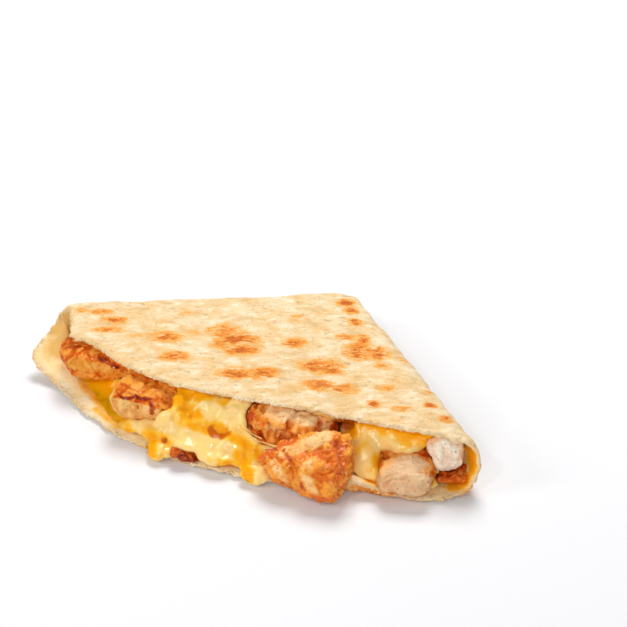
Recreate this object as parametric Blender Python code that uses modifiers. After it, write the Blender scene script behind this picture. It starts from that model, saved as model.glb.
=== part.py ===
"""One wedge of a chicken and cheese quesadilla, as closed solids with one object for each piece.

The tortilla is a single sheet that makes a flat pocket: it is folded over along the right side, it curls up
and is pressed shut along the back, and its mouth is open along the curved rim. Melted cheese fills the pocket
and runs over the rim, and chunks of grilled chicken sit in the cheese along the mouth.

Plan positions are polar. They are counted from the corner where the two closed sides meet: a reach in
millimetres, and a bearing in degrees from -Y, positive towards +X. Z is up, and the tortilla's underside lies
at Z = 0.
"""

import math
import random

import bmesh
import bpy
from mathutils import Euler, Vector, noise

MM = 0.001

# Driving dimensions, in millimetres and degrees.
SHEET = 2.3  # thickness of the tortilla
GAP = 0.3  # clearance that touching pieces keep
BACK_BEARING = -52.0  # the closed back side
FOLD_BEARING = 51.0  # the folded side
CORNER_HEIGHT = 17.8  # height of the pocket at its corner
WALL_SPREAD = 25.0  # how far in the back wall reaches the table
FOLD_SPREAD = 8.0  # how far in the folded side reaches its flats
LIP_BEARING, LIP_LIFT, LIP_WIDTH = 27.0, 7.0, 6.5  # where the lower rim curls up off the table
CORNER_SHIFT = Vector((1.6, 59.55, 0.0))  # from the corner to the middle of the wedge
TO_CORNER = Vector((0.0, 1.0, 0.0))  # the way from the mouth to the corner
MEAN_REACH = 118.0  # how far out the rim is, on average
WALL_FADE = 35.0  # reach over which the back wall gets its full spread
TUCK_REACH = 30.0  # reach from which the closed sides have their full insets
BACK_INSET, FOLD_INSET = 2.5, 6.0  # how far in the lid's first and last columns lie
LID_BOW = 1.1  # how much faster than evenly the lid rises from the corner
LID_DIP = 1.0  # how much lower the lid is at the rounded corner
CORNER_LIFT = 3.2  # how far the floor lifts off the table at the rounded corner
RIPPLE, RIPPLE_SPACING = 0.7, 24.0  # the lid's waves
RIM_WAVE = 0.5  # how far the lower rim waves off the table
ROUNDED_SHARE = 0.1  # share of the reach over which the corner is rounded off
RIM_SHARE = 0.84  # share of the reach where the floor starts to lift towards the rim

TORTILLA_COLOUR, CHEESE_COLOUR = (0.87, 0.7, 0.45), (0.94, 0.6, 0.18)

# The mouth from the back crest to the fold: bearing, reach of the lower and the upper rim, upper height.
MOUTH = (
    (-52.0, 117.0, 115.0, 23.5),
    (-50.7, 120.5, 115.0, 23.5),
    (-48.6, 125.0, 115.0, 23.2),
    (-45.8, 137.0, 115.2, 22.8),
    (-43.0, 127.0, 115.8, 22.4),
    (-40.6, 125.6, 119.3, 22.0),
    (-38.6, 124.7, 113.0, 22.0),
    (-35.5, 123.7, 109.2, 22.0),
    (-29.0, 122.0, 108.6, 22.8),
    (-24.0, 120.5, 107.6, 23.4),
    (-16.5, 118.2, 103.5, 23.7),
    (-10.0, 115.8, 100.5, 23.7),
    (-6.0, 114.0, 98.0, 23.7),
    (0.0, 112.0, 95.5, 23.7),
    (7.0, 111.0, 92.0, 23.4),
    (14.0, 110.3, 89.3, 23.0),
    (21.0, 110.5, 91.5, 23.0),
    (29.0, 111.5, 95.5, 23.0),
    (33.0, 112.5, 98.0, 23.2),
    (36.0, 114.5, 102.0, 23.4),
    (41.0, 119.0, 105.0, 23.6),
    (46.0, 119.0, 109.5, 23.2),
    (51.0, 118.5, 115.5, 22.5),
)

# The cage that the subdivision smooths.
STATIONS = (0.03, 0.1, 0.24, 0.45, 0.68, 0.86, 0.955, 1.0)  # shares of the reach
FLOOR_RUN = (-40.5, -33, -24, -15, -6, 3, 12, 19.5, 25.5, 30.5, 35.5, 41, 47)  # bearings of columns
LID_RUN = (-51, -46, -41, -38.8, -35.5, -29, -18, -6, 6, 19, 31, 40, 48)
RUN = len(FLOOR_RUN) - 1
WALL_ANGLES = (27.0, 45.0, 63.0, 80.0)  # points up the back wall
FOLD_PROFILE = ((2.0, 0.04), (-2.0, 0.3), (-2.7, 0.68), (0.5, 0.95))  # inset in mm, share of the height
SIDE = len(WALL_ANGLES)
PINCH = (0.2, 0.5, 0.8, 1.1, 1.4, 1.6, 1.0, 0.5, 0.1)  # how far the crest's inner face is drawn in
CREST_DROP = (0.7, 0.2)  # how far the inner face sinks just past the crest
OUTER_POLE, INNER_POLE, CHEESE_POLE = 3.0, 0.4, 0.5  # how far past its first ring each skin closes, in mm

SMALL_CHUNK = 21.0  # a chunk shorter than this gets a coarser cage
CAGE_SCALE = 1.12  # how much larger a chunk's cage is than the chunk that subdivision makes of it
CHUNK_JITTER = 0.08  # how uneven a chunk is, as a share of its size
CHUNK_ROUNDNESS, PULLED_ROUNDNESS = 0.45, 0.25  # how far a cage's corners are drawn onto a ball
BALL = 0.62  # radius of that ball, for a cage one wide
TABLE_GAP = 0.1  # how far off the table a chunk stays

# Chicken: name, middle as bearing, reach and height, size along X, Y and Z, turn about them, seed, colour.
SEARED, PALE, CHARRED = (0.66, 0.35, 0.14), (0.86, 0.72, 0.6), (0.34, 0.1, 0.04)
CHICKEN = (
    ("chicken_back_left", (-37.2, 104.0, 13.4), (33, 18, 10.6), (4, -4, 26), 3, SEARED),
    ("chicken_left", (-18.4, 102.6, 12.9), (25, 20.5, 12), (8, 0, 7), 8, SEARED),
    ("chicken_middle", (13.8, 86.0, 12.8), (31, 24, 14.0), (10, 4, 26), 5, SEARED),
    ("chicken_over_rim", (20.6, 108.6, 11.2), (29, 17, 18), (0, 0, 0), 12, SEARED),
    ("chicken_right", (39.0, 104.5, 9.4), (18, 25, 9.0), (12, 0, 30), 21, PALE),
    ("chicken_by_fold", (46.8, 105.0, 14.0), (12.5, 14, 12.5), (8, 0, 36), 17, PALE),
    ("chicken_under_fold", (47.6, 110.0, 5.6), (11, 8, 4.8), (0, -8, 30), 6, CHARRED),
    ("chicken_scrap", (-4.6, 111.0, 4.2), (11, 6, 4.2), (0, 6, 14), 9, CHARRED),
)
# How far some chunks' corners are pulled, in mm: from left to right, then front to back, then upwards.
PULLED = {
    "chicken_left": (
        (2, 1, 0), (-4, 3, 2), (0, 0, 0), (-2, 0, 0), (-2, 0, -0.5), (1, 2, 0), (-1, -1, -1), (1, -1, 0)
    ),
    "chicken_over_rim": (
        (7, 0, -1), (-1, 4.5, -2), (4, 1, 3), (-1, -2, 3), (-5, 0, -7), (0, 3, -6), (1, -2, -5), (-3, 4, 3.5)
    ),
}

# Cheese: where it flows over the rim, as bearing and size; how deep its face sinks along the mouth, low down
# and high up; and the share of the lower rim's reach that it covers, by bearing.
FLOWS = ((-10.2, (12.5, 11.0, 6.6)), (9.8, (13.0, 11.5, 7.2)))
HOLLOWS = (
    (-40.0, 17.0, 17.0),
    (-31.0, 14.0, 16.0),
    (-24.0, 2.0, 15.0),
    (-17.0, -1.0, 13.0),
    (-11.5, -3.0, 2.0),
    (0.0, -4.0, -3.0),
    (9.0, 1.0, 2.0),
    (17.0, 7.0, 7.0),
    (25.0, 9.0, 11.0),
    (32.0, 2.5, 2.5),
    (40.0, 6.0, 5.0),
    (51.0, 8.0, 8.0),
)
FACE_BOW, FACE_SAG = 0.7, 0.18  # how full the face's curve is, and how far it sags as it sinks in
FLOW_HOLD, FLOW_FLAT = 0.6, 0.1  # how far inside the rim a flow's middle lies, and how flat its foot is
UPPER_COVER = 0.985  # the same share for the fold, the lid and the back wall
COVER = (
    (-52.0, 0.975),
    (-28.0, 0.965),
    (-20.0, 0.99),
    (-12.0, 1.005),
    (10.0, 1.005),
    (18.0, 0.99),
    (30.0, 0.97),
    (51.0, 0.975),
)


def read_along(rows, bearing, column):
    """The value of a column of the rows at this bearing, straight between the rows."""
    for low, high in zip(rows, rows[1:]):
        if bearing <= high[0]:
            share = max(0.0, (bearing - low[0]) / (high[0] - low[0]))
            return low[column] + (high[column] - low[column]) * share
    return rows[-1][column]


def polar(bearing, reach, height):
    """A point of the wedge from its bearing, reach and height."""
    angle = math.radians(bearing)
    return Vector((reach * math.sin(angle), -reach * math.cos(angle), height)) + CORNER_SHIFT


def nose(station):
    """From 1 at the corner to 0 a short way out: how much the corner is rounded off."""
    return max(0.0, 1.0 - station / ROUNDED_SHARE) ** 2


def lid_height(bearing, station):
    """Height of the lid's upper face, which rises from the corner to the mouth."""
    rim = read_along(MOUTH, bearing, 3)
    rise = 1.0 - (1.0 - station) ** LID_BOW
    spot = polar(bearing, read_along(MOUTH, bearing, 2) * station, 0.0)
    ripple = RIPPLE * noise.noise(Vector((spot.x, spot.y, 0.0)) / RIPPLE_SPACING)
    return CORNER_HEIGHT + (rim - CORNER_HEIGHT) * rise - LID_DIP * nose(station) + ripple


def floor_height(bearing, station):
    """Height of the floor's underside: flat on the table but for the rounded corner and the curled lip."""
    near_rim = max(0.0, (station - RIM_SHARE) / (1.0 - RIM_SHARE)) ** 1.5
    lip = LIP_LIFT * math.exp(-(((bearing - LIP_BEARING) / LIP_WIDTH) ** 2))
    wave = RIM_WAVE * max(0.0, math.sin(math.radians(bearing * 9.0)))
    return CORNER_LIFT * nose(station) + near_rim * (lip + wave)


def turned_in(inset, reach):
    """The angle that an inset in mm takes up at a reach."""
    return math.degrees(math.atan2(inset, reach))


def tucked(station):
    """How much of the closed sides' insets there is at a station: all of it but near the corner."""
    return min(1.0, MEAN_REACH * station / TUCK_REACH)


def wall_spread(station):
    """How far in the back wall reaches the table at a station."""
    return WALL_SPREAD * (1.0 - math.exp(-MEAN_REACH * station / WALL_FADE))


def spread_over(run, column, first, last):
    """The bearing of a column when a run of columns is spread from a first to a last bearing."""
    share = (column - run[0]) / (run[-1] - run[0])
    return first + (last - first) * share


def floor_points(station):
    """The section's points along the floor, from the back wall to the fold."""
    reach = MEAN_REACH * station
    first = BACK_BEARING + turned_in(wall_spread(station), reach)
    last = FOLD_BEARING - turned_in(FOLD_SPREAD * tucked(station), reach)
    points = []
    for column in FLOOR_RUN:
        bearing = spread_over(FLOOR_RUN, column, first, last)
        points.append(polar(bearing, read_along(MOUTH, bearing, 1) * station, floor_height(bearing, station)))
    return points


def fold_points(station):
    """The section's points up the fold."""
    low, high = floor_height(FOLD_BEARING, station), lid_height(FOLD_BEARING, station)
    points = []
    for inset, share in FOLD_PROFILE:
        bearing = FOLD_BEARING - turned_in(inset * tucked(station), MEAN_REACH * station)
        rim = MOUTH[-1][1] + (MOUTH[-1][2] - MOUTH[-1][1]) * share
        points.append(polar(bearing, rim * station, low + (high - low) * share))
    return points


def lid_points(station):
    """The section's points along the lid, from the fold to the back wall."""
    reach = MEAN_REACH * station
    first = BACK_BEARING + turned_in(BACK_INSET * tucked(station), reach)
    last = FOLD_BEARING - turned_in(FOLD_INSET * tucked(station), reach)
    points = []
    for column in reversed(LID_RUN):
        bearing = spread_over(LID_RUN, column, first, last)
        points.append(polar(bearing, read_along(MOUTH, bearing, 2) * station, lid_height(bearing, station)))
    return points


def wall_points(station):
    """The section's points down the back wall."""
    reach, wall = MEAN_REACH * station, wall_spread(station)
    foot = BACK_BEARING + turned_in(wall, reach)
    low, high = floor_height(foot, station), lid_height(BACK_BEARING, station)
    points = []
    for angle in reversed(WALL_ANGLES):
        rise = math.sin(math.radians(angle))
        share = (rise + 1.0 - math.cos(math.radians(angle))) / 2.0
        bearing = BACK_BEARING + turned_in(wall * (1.0 - rise), reach)
        points.append(polar(bearing, read_along(MOUTH, bearing, 1) * station, low + (high - low) * share))
    return points


def ring(station):
    """The pocket's outer section at a station: the floor, the fold, the lid and the wall, in that order."""
    return floor_points(station) + fold_points(station) + lid_points(station) + wall_points(station)


def skin(inset):
    """All rings, moved in from the pocket's outer face by an inset, or out where it is negative."""
    rings = [ring(station) for station in STATIONS]
    moved = []
    for i, points in enumerate(rings):
        behind, ahead = rings[max(i - 1, 0)], rings[min(i + 1, len(rings) - 1)]
        row = []
        for j, point in enumerate(points):
            around = points[(j + 1) % len(points)] - points[j - 1]
            outward = around.cross(ahead[j] - behind[j]).normalized()
            row.append(point - outward * inset)
        if inset > 0:
            pinch_crest(row, inset)
        moved.append(row)
    return moved


def pinch_crest(row, inset):
    """Draws the inner face away from the tight crest at the back, so that the sheet doesn't cross itself."""
    away = polar(BACK_BEARING + 90.0, 1.0, 0.0) - CORNER_SHIFT
    crest = 2 * RUN + 1 + SIDE
    for k, share in enumerate(PINCH):
        row[crest - 5 + k] += away * share * inset
    for k, share in enumerate(CREST_DROP):
        row[crest + 1 + k].z -= share * inset


def middle(points):
    """The mean of some points."""
    return sum(points, Vector()) / len(points)


def mesh_object(name, work, group, colour, roughness):
    """An object with this bmesh, in millimetres, as its mesh in metres, and with a material of its own."""
    bmesh.ops.recalc_face_normals(work, faces=work.faces)
    bmesh.ops.scale(work, vec=(MM, MM, MM), verts=work.verts)
    mesh = bpy.data.meshes.new(name)
    work.to_mesh(mesh)
    work.free()
    mesh.shade_smooth()
    material = bpy.data.materials.new(name)
    material.use_nodes = True
    shader = material.node_tree.nodes["Principled BSDF"]
    shader.inputs["Base Color"].default_value = (*colour, 1.0)
    shader.inputs["Roughness"].default_value = roughness
    shader.inputs["Metallic"].default_value = 0.0
    mesh.materials.append(material)
    made = bpy.data.objects.new(name, mesh)
    group.objects.link(made)
    return made


def bridge(work, rings):
    """Quads between rings of equally many vertices."""
    for low, high in zip(rings, rings[1:]):
        for j in range(len(low)):
            k = (j + 1) % len(low)
            work.faces.new((low[j], low[k], high[k], high[j]))


def close_with_pole(work, loop, pole):
    """Triangles from a ring to one point past it."""
    tip = work.verts.new(pole)
    for j in range(len(loop)):
        work.faces.new((loop[j], loop[(j + 1) % len(loop)], tip))


def subdivide(made, levels):
    """Smooths an object's cage with Subdivision Surface, and leaves flat triangles for what comes after."""
    smooth = made.modifiers.new("Smooth", "SUBSURF")
    smooth.levels = smooth.render_levels = levels
    made.modifiers.new("Flat faces", "TRIANGULATE")


def tortilla(name, group, grow=0.0):
    """The sheet as one closed loft over its outer face, rim and inner face, all grown by a clearance."""
    outer, inner = skin(-grow), skin(SHEET + grow)[2:]
    if grow:
        for row in (outer[-1], inner[-1]):
            for j, point in enumerate(row):
                row[j] = point + (point - CORNER_SHIFT).normalized() * grow
    work = bmesh.new()
    loops = [[work.verts.new(point) for point in points] for points in outer + inner[::-1]]
    bridge(work, loops)
    close_with_pole(work, loops[0], middle(outer[0]) + TO_CORNER * OUTER_POLE)
    close_with_pole(work, loops[-1], middle(inner[0]) + TO_CORNER * INNER_POLE)
    made = mesh_object(name, work, group, TORTILLA_COLOUR, 0.7)
    subdivide(made, 1)
    return made


def cheese_mouth(work, loop):
    """Closes the cheese at the mouth with a grid from floor to lid that sinks in or bulges out."""
    rows = [loop[: RUN + 1]]
    top = loop[RUN + 1 + SIDE : 2 * RUN + 2 + SIDE][::-1]
    right = loop[RUN + 1 : RUN + 1 + SIDE]
    left = loop[2 * RUN + 2 + SIDE :][::-1]
    for i in range(SIDE):
        share = (i + 1) / (SIDE + 1)
        row = [left[i]]
        for j in range(1, RUN):
            point = rows[0][j].co.lerp(top[j].co, share)
            flat = point - CORNER_SHIFT
            bearing = math.degrees(math.atan2(flat.x, -flat.y))
            low, high = read_along(HOLLOWS, bearing, 1), read_along(HOLLOWS, bearing, 2)
            depth = low + (high - low) * share
            bow = math.sin(math.pi * share) ** FACE_BOW
            outward = Vector((flat.x, flat.y, 0.0)).normalized()
            point = point - outward * depth * bow
            point.z -= max(0.0, depth) * FACE_SAG * bow
            row.append(work.verts.new(point))
        rows.append(row + [right[i]])
    rows.append(top)
    for low, high in zip(rows, rows[1:]):
        for j in range(RUN):
            work.faces.new((low[j], low[j + 1], high[j + 1], high[j]))


def cheese_body(group):
    """The cheese inside the pocket, from near the corner to its melted face at the mouth."""
    rings = skin(SHEET + 1.5 * GAP)[2:]
    for j, point in enumerate(rings[-1]):
        flat = Vector((point.x - CORNER_SHIFT.x, point.y - CORNER_SHIFT.y, 0.0))
        cover = read_along(COVER, math.degrees(math.atan2(flat.x, -flat.y)), 1) if j <= RUN else UPPER_COVER
        rings[-1][j] = point + flat * (cover - 1.0)
    work = bmesh.new()
    loops = [[work.verts.new(point) for point in points] for points in rings]
    bridge(work, loops)
    close_with_pole(work, loops[0], middle(rings[0]) + TO_CORNER * CHEESE_POLE)
    cheese_mouth(work, loops[-1])
    made = mesh_object("cheese", work, group, CHEESE_COLOUR, 0.3)
    subdivide(made, 1)
    return made


def cheese_flow(bearing, size, group):
    """A tongue of cheese that hangs over the lower rim and rests on the table."""
    work = bmesh.new()
    bmesh.ops.create_icosphere(work, subdivisions=2, radius=0.5)
    bmesh.ops.scale(work, vec=size, verts=work.verts)
    place = polar(bearing, read_along(MOUTH, bearing, 1) - FLOW_HOLD, size[2] / 2.0 - FLOW_FLAT)
    for vertex in work.verts:
        vertex.co.z = max(vertex.co.z, -place.z)
    made = mesh_object(f"cheese_flow_{bearing:.0f}", work, group, CHEESE_COLOUR, 0.3)
    made.location = place * MM
    made.rotation_euler.z = math.radians(bearing)
    return made


def corners(size, turn, pulled):
    """The eight corners of a turned block, in mm about its middle, each pulled by an amount of its own."""
    turned = Euler([math.radians(angle) for angle in turn]).to_matrix()
    made = []
    for n in range(8):
        side = Vector((n & 1, n >> 1 & 1, n >> 2 & 1)) - Vector((0.5, 0.5, 0.5))
        made.append(turned @ (side * Vector(size)) + Vector(pulled[n]))
    return made


def warp(spot, block):
    """Where a point of the unit cube lies in a block given by its eight corners."""
    along = [value + 0.5 for value in spot]
    total = Vector()
    for n, corner in enumerate(block):
        share = 1.0
        for axis in range(3):
            share *= along[axis] if n >> axis & 1 else 1.0 - along[axis]
        total += corner * share
    return total


def chicken_lump(name, place, size, turn, seed, colour, group, grow=0.0):
    """A cut chunk of chicken: an uneven block, rounded by subdivision and no lower than the table."""
    random.seed(seed)
    block = corners(size, turn, PULLED.get(name, [(0, 0, 0)] * 8))
    middle_point = polar(*place)
    roundness = PULLED_ROUNDNESS if name in PULLED else CHUNK_ROUNDNESS
    work = bmesh.new()
    bmesh.ops.create_cube(work, size=1.0)
    cuts = 1 if max(size) < SMALL_CHUNK else 2
    bmesh.ops.subdivide_edges(work, edges=work.edges, cuts=cuts, use_grid_fill=True)
    for vertex in work.verts:
        rounded = vertex.co.normalized() * BALL
        spot = vertex.co.lerp(rounded, roundness) * CAGE_SCALE
        spot += Vector(random.uniform(-CHUNK_JITTER, CHUNK_JITTER) for _ in range(3))
        vertex.co = warp(spot, block)
    work.normal_update()
    for vertex in work.verts:
        vertex.co += vertex.normal * grow * CAGE_SCALE
        vertex.co.z = max(vertex.co.z, TABLE_GAP - grow - middle_point.z)
    made = mesh_object(name, work, group, colour, 0.5)
    made.location = middle_point * MM
    subdivide(made, 1)
    return made


def combine(target, other, operation):
    """Adds a Boolean to the target and hides the other shape from the part."""
    change = target.modifiers.new(f"{operation} {other.name}", "BOOLEAN")
    change.operation = operation
    change.object = other
    other.hide_render = True
    other.display_type = "WIRE"


def clear_scene():
    """Removes every object that the scene starts with."""
    for old in list(bpy.data.objects):
        bpy.data.objects.remove(old)


def collection(name):
    """A new collection in the scene."""
    made = bpy.data.collections.new(name)
    bpy.context.scene.collection.children.link(made)
    return made


def main():
    """Builds the tortilla, then each chunk clear of what is already there, and the cheese around them all."""
    clear_scene()
    part, cutters = collection("quesadilla"), collection("cutters")
    tortilla("tortilla", part)
    taken = [tortilla("tortilla_clearance", cutters, grow=GAP)]
    for name, *shape in CHICKEN:
        chunk = chicken_lump(name, *shape, part)
        for other in taken:
            combine(chunk, other, "DIFFERENCE")
        taken.append(chicken_lump(name, *shape, cutters, grow=GAP))
        taken[-1].name = f"{name}_clearance"
    cheese = cheese_body(part)
    for bearing, size in FLOWS:
        combine(cheese, cheese_flow(bearing, size, cutters), "UNION")
    for other in taken:
        combine(cheese, other, "DIFFERENCE")


main()
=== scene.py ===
"""A wedge of folded flour tortilla filled with melted cheese and grilled chicken: pieces, finishes, studio."""

import logging
import math
from collections.abc import Iterable, Sequence
from dataclasses import dataclass
from enum import Enum

import bmesh
import bpy
import numpy as np
from mathutils import Matrix, Vector
from mathutils.bvhtree import BVHTree


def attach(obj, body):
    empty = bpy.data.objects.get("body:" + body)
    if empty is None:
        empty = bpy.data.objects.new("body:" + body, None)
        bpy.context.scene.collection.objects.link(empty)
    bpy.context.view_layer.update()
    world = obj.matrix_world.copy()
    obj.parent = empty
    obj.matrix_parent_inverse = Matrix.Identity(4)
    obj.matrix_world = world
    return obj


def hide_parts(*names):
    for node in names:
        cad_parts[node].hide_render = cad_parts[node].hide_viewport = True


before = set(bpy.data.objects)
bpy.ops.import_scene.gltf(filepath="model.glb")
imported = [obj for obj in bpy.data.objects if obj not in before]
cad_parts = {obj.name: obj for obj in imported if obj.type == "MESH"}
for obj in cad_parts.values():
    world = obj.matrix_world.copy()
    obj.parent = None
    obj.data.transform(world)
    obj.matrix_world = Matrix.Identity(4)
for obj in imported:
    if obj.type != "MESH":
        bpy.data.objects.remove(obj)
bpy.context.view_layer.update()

LOG = logging.getLogger("quesadilla")
MM = 0.001
# The point of the wedge, where its two straight sides meet, in mm.
CORNER = np.array((1.6, 59.5, 0.0))
# The grill's bars run this way over the sheet, and this is square to them.
ALONG_BARS = np.array((0.866, 0.5, 0.0))
ACROSS_BARS = np.array((-0.5, 0.866, 0.0))
BARS_TURN = 30.0
# Past this line by the left end, in this direction, the filling is so thin that it only lines the sheet.
THIN_END = (-57.0, -39.5, 0.0)
THIN_WAY = (-0.52, -0.85, 0.0)
# How fast a mark fades from its middle, and how low a piece may lie, in mm.
FADE = 1.2
LOWEST = 0.2
# Which parts of a tree's answer are the nearest face's number and its distance.
FACE, GAP = 2, 3

Triple = tuple[float, float, float]
Tone = tuple[int, int, int]
Numbers = np.ndarray
Draw = np.random.Generator
Mesh = bpy.types.Mesh
Shape = bmesh.types.BMesh


class Slot(Enum):
    """The record's material slots."""

    TORTILLA = "tortilla"
    CHEESE = "cheese"
    CHICKEN = "chicken"
    CHARRED = "charred_chicken"


# ---- Noise and marks ----


def smooth(values: Numbers, low: float, high: float) -> Numbers:
    """The values turned into 0 below low, 1 above high, and an even curve between."""
    share = np.clip((values - low) / (high - low), 0.0, 1.0)
    return share * share * (3.0 - 2.0 * share)


def past_thin_end(points: Numbers) -> Numbers:
    """How far each point is past the line where the filling gets thin, in mm."""
    return (points - np.array(THIN_END)) @ np.array(THIN_WAY)


class Grain:
    """Noise in space, the same for the same seed. Points and sizes are in mm."""

    CELLS = 256

    def __init__(self, seed: int) -> None:
        """Draws the tables that the noise is read from.

        Args:
            seed: the same seed gives the same noise.
        """
        draw = np.random.default_rng(seed)
        order = draw.permutation(self.CELLS)
        self.order = np.concatenate((order, order))
        slopes = draw.normal(size=(self.CELLS, 3))
        self.slopes = slopes / np.linalg.norm(slopes, axis=1)[:, None]
        self.places = draw.random((self.CELLS, 3))

    def _draw(self, cell: Numbers) -> Numbers:
        """The table row of each cell."""
        first, second, third = (cell % self.CELLS).T
        return self.order[self.order[self.order[first] + second] + third]

    def waves(self, points: Numbers, size: float | Triple) -> Numbers:
        """Smooth gradient noise.

        Args:
            points: where to read it, one row a point.
            size: the width of its waves, one number or one for each axis.

        Returns:
            One number a point, about -1 to 1.
        """
        place = points / np.asarray(size, float)
        cell = np.floor(place).astype(int)
        part = place - cell
        ease = part**3 * (part * (part * 6 - 15) + 10)
        total = np.zeros(len(points))
        for corner in np.ndindex(2, 2, 2):
            step = np.array(corner)
            dot = ((part - step) * self.slopes[self._draw(cell + step)]).sum(axis=1)
            weight = np.where(step == 1, ease, 1 - ease).prod(axis=1)
            total += weight * dot
        return total * 1.5

    def layers(self, points: Numbers, size: float | Triple, count: int = 2) -> Numbers:
        """Waves with finer, weaker waves on them.

        Args:
            points: where to read them.
            size: the width of the widest waves.
            count: how many layers, each half as wide as the last.

        Returns:
            One number a point, about -1 to 1.
        """
        total = np.zeros(len(points))
        for step in range(count):
            total += self.waves(points + 17.3 * step, np.asarray(size, float) / 2**step) / 1.9**step
        return total

    def stray(self, points: Numbers, reach: float, size: float, start: float = 0.0) -> Numbers:
        """Small moves that bend a pattern.

        Args:
            points: where to read them.
            reach: how far they move a point, in mm.
            size: how wide the bends are.
            start: shifts them, so that two don't match.

        Returns:
            One move a point.
        """
        return reach * np.stack([self.waves(points + start + shift, size) for shift in (0, 40, 80)], axis=1)

    def cells(self, points: Numbers, size: float) -> tuple[Numbers, Numbers]:
        """How far each point is from the nearest of many scattered centres, in cells.

        Args:
            points: where to read it.
            size: how far apart the centres are.

        Returns:
            That distance, 0 at a centre and about 1 far from any, and how much further the second
            nearest is, 0 on the seam between two.
        """
        place = points / size
        cell = np.floor(place).astype(int)
        part = place - cell
        nearest = np.full(len(points), 9.0)
        second = nearest.copy()
        for corner in np.ndindex(3, 3, 3):
            step = np.array(corner) - 1
            centre = step + self.places[self._draw(cell + step)]
            away = ((part - centre) ** 2).sum(axis=1)
            second = np.minimum(second, np.maximum(nearest, away))
            nearest = np.minimum(nearest, away)
        return np.sqrt(nearest), np.sqrt(second) - np.sqrt(nearest)


@dataclass(frozen=True)
class Spot:
    """A soft round mark: its middle and its radii in mm, its turn about the vertical in degrees."""

    middle: Triple
    radii: Triple
    turn: float = 0.0
    strength: float = 1.0

    def over(self, points: Numbers) -> Numbers:
        """How strongly the mark shows.

        Args:
            points: where to read it, in mm.

        Returns:
            One number a point, from its strength in the middle to 0 outside.
        """
        angle = math.radians(self.turn)
        away = points - np.array(self.middle)
        along = away[:, 0] * math.cos(angle) + away[:, 1] * math.sin(angle)
        across = away[:, 1] * math.cos(angle) - away[:, 0] * math.sin(angle)
        reach = np.stack((along, across, away[:, 2]), axis=1) / np.array(self.radii)
        return self.strength * np.exp(-FADE * (reach**2).sum(axis=1))


@dataclass(frozen=True)
class Streak:
    """A soft line along a path in mm, such as a charred ridge."""

    path: tuple[Triple, ...]
    radius: float
    strength: float = 1.0

    def over(self, points: Numbers) -> Numbers:
        """How strongly the line shows.

        Args:
            points: where to read it, in mm.

        Returns:
            One number a point, by how near the path is.
        """
        nearest = np.full(len(points), 1e9)
        for start, end in zip(self.path, self.path[1:]):
            base = np.array(start)
            run = np.array(end) - base
            share = np.clip(((points - base) @ run) / (run @ run), 0.0, 1.0)
            gap = points - (base + share[:, None] * run)
            nearest = np.minimum(nearest, (gap**2).sum(axis=1))
        return self.strength * np.exp(-FADE * nearest / self.radius**2)


Mark = Spot | Streak
Marks = tuple[Mark, ...]
Carving = tuple[tuple[Mark, float], ...]


def marks_over(points: Numbers, marks: Iterable[Mark]) -> Numbers:
    """The strongest of several marks at each point, 0 where there is none."""
    return np.max([np.zeros(len(points)), *(mark.over(points) for mark in marks)], axis=0)


# ---- Meshes ----


def rows(items: bpy.types.bpy_prop_collection, what: str) -> Numbers:
    """Reads three numbers of each of a mesh's items.

    Args:
        items: the mesh's points or normals.
        what: what the numbers are called there.

    Returns:
        One row an item.
    """
    flat = np.zeros(len(items) * 3)
    items.foreach_get(what, flat)
    return flat.reshape(-1, 3)


def points_of(mesh: Mesh) -> Numbers:
    """The mesh's points in mm, one row each."""
    return rows(mesh.vertices, "co") / MM


def normals_of(mesh: Mesh) -> Numbers:
    """The mesh's outward directions, one row a point."""
    return rows(mesh.vertex_normals, "vector")


def move_to(mesh: Mesh, points: Numbers) -> None:
    """Moves the mesh's points, given in mm."""
    mesh.vertices.foreach_set("co", (points * MM).ravel())
    mesh.update()


def keep(mesh: Mesh, **values: Numbers | float) -> None:
    """Keeps numbers on the mesh, one for each point, for its finish to read.

    Args:
        mesh: the mesh.
        values: the numbers, by the name that the finish reads them by.
    """
    for name, numbers in values.items():
        kept = mesh.attributes.new(name, "FLOAT", "POINT")
        kept.data.foreach_set("value", np.broadcast_to(numbers, len(mesh.vertices)).astype(np.float32))


def nearest(mesh: Mesh, tree: BVHTree, part: int) -> list:
    """What a tree finds nearest to each of the mesh's points: FACE or GAP of its answer, in metres."""
    return [tree.find_nearest(vertex.co)[part] for vertex in mesh.vertices]


def carve(mesh: Mesh, marks: Carving) -> None:
    """Draws a mesh in under each mark, or out where the depth is less than 0.

    Args:
        mesh: the mesh, which is changed.
        marks: each mark and its depth in mm.
    """
    for mark, depth in marks:
        points = points_of(mesh)
        move_to(mesh, points - normals_of(mesh) * (depth * mark.over(points))[:, None])


def welded(node: str) -> Shape:
    """Joins the corners of a CAD node's faces.

    Args:
        node: the node's name.

    Returns:
        Its faces as a new editable mesh, in metres.
    """
    shape = bmesh.new()
    shape.from_mesh(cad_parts[node].data)
    bmesh.ops.remove_doubles(shape, verts=shape.verts, dist=1e-6)
    return shape


def to_mesh(shape: Shape, name: str) -> Mesh:
    """Turns an editable mesh into a plain one, shaded smooth.

    Args:
        shape: the editable mesh, which is freed.
        name: the new mesh's name.

    Returns:
        The new mesh.
    """
    mesh = bpy.data.meshes.new(name)
    shape.to_mesh(mesh)
    shape.free()
    mesh.shade_smooth()
    return mesh


def linked(name: str, data: bpy.types.ID) -> bpy.types.Object:
    """Puts a mesh, a lamp or a camera in the scene.

    Args:
        name: the new object's name.
        data: what it shows.

    Returns:
        The object.
    """
    made = bpy.data.objects.new(name, data)
    bpy.context.scene.collection.objects.link(made)
    return made


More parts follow.
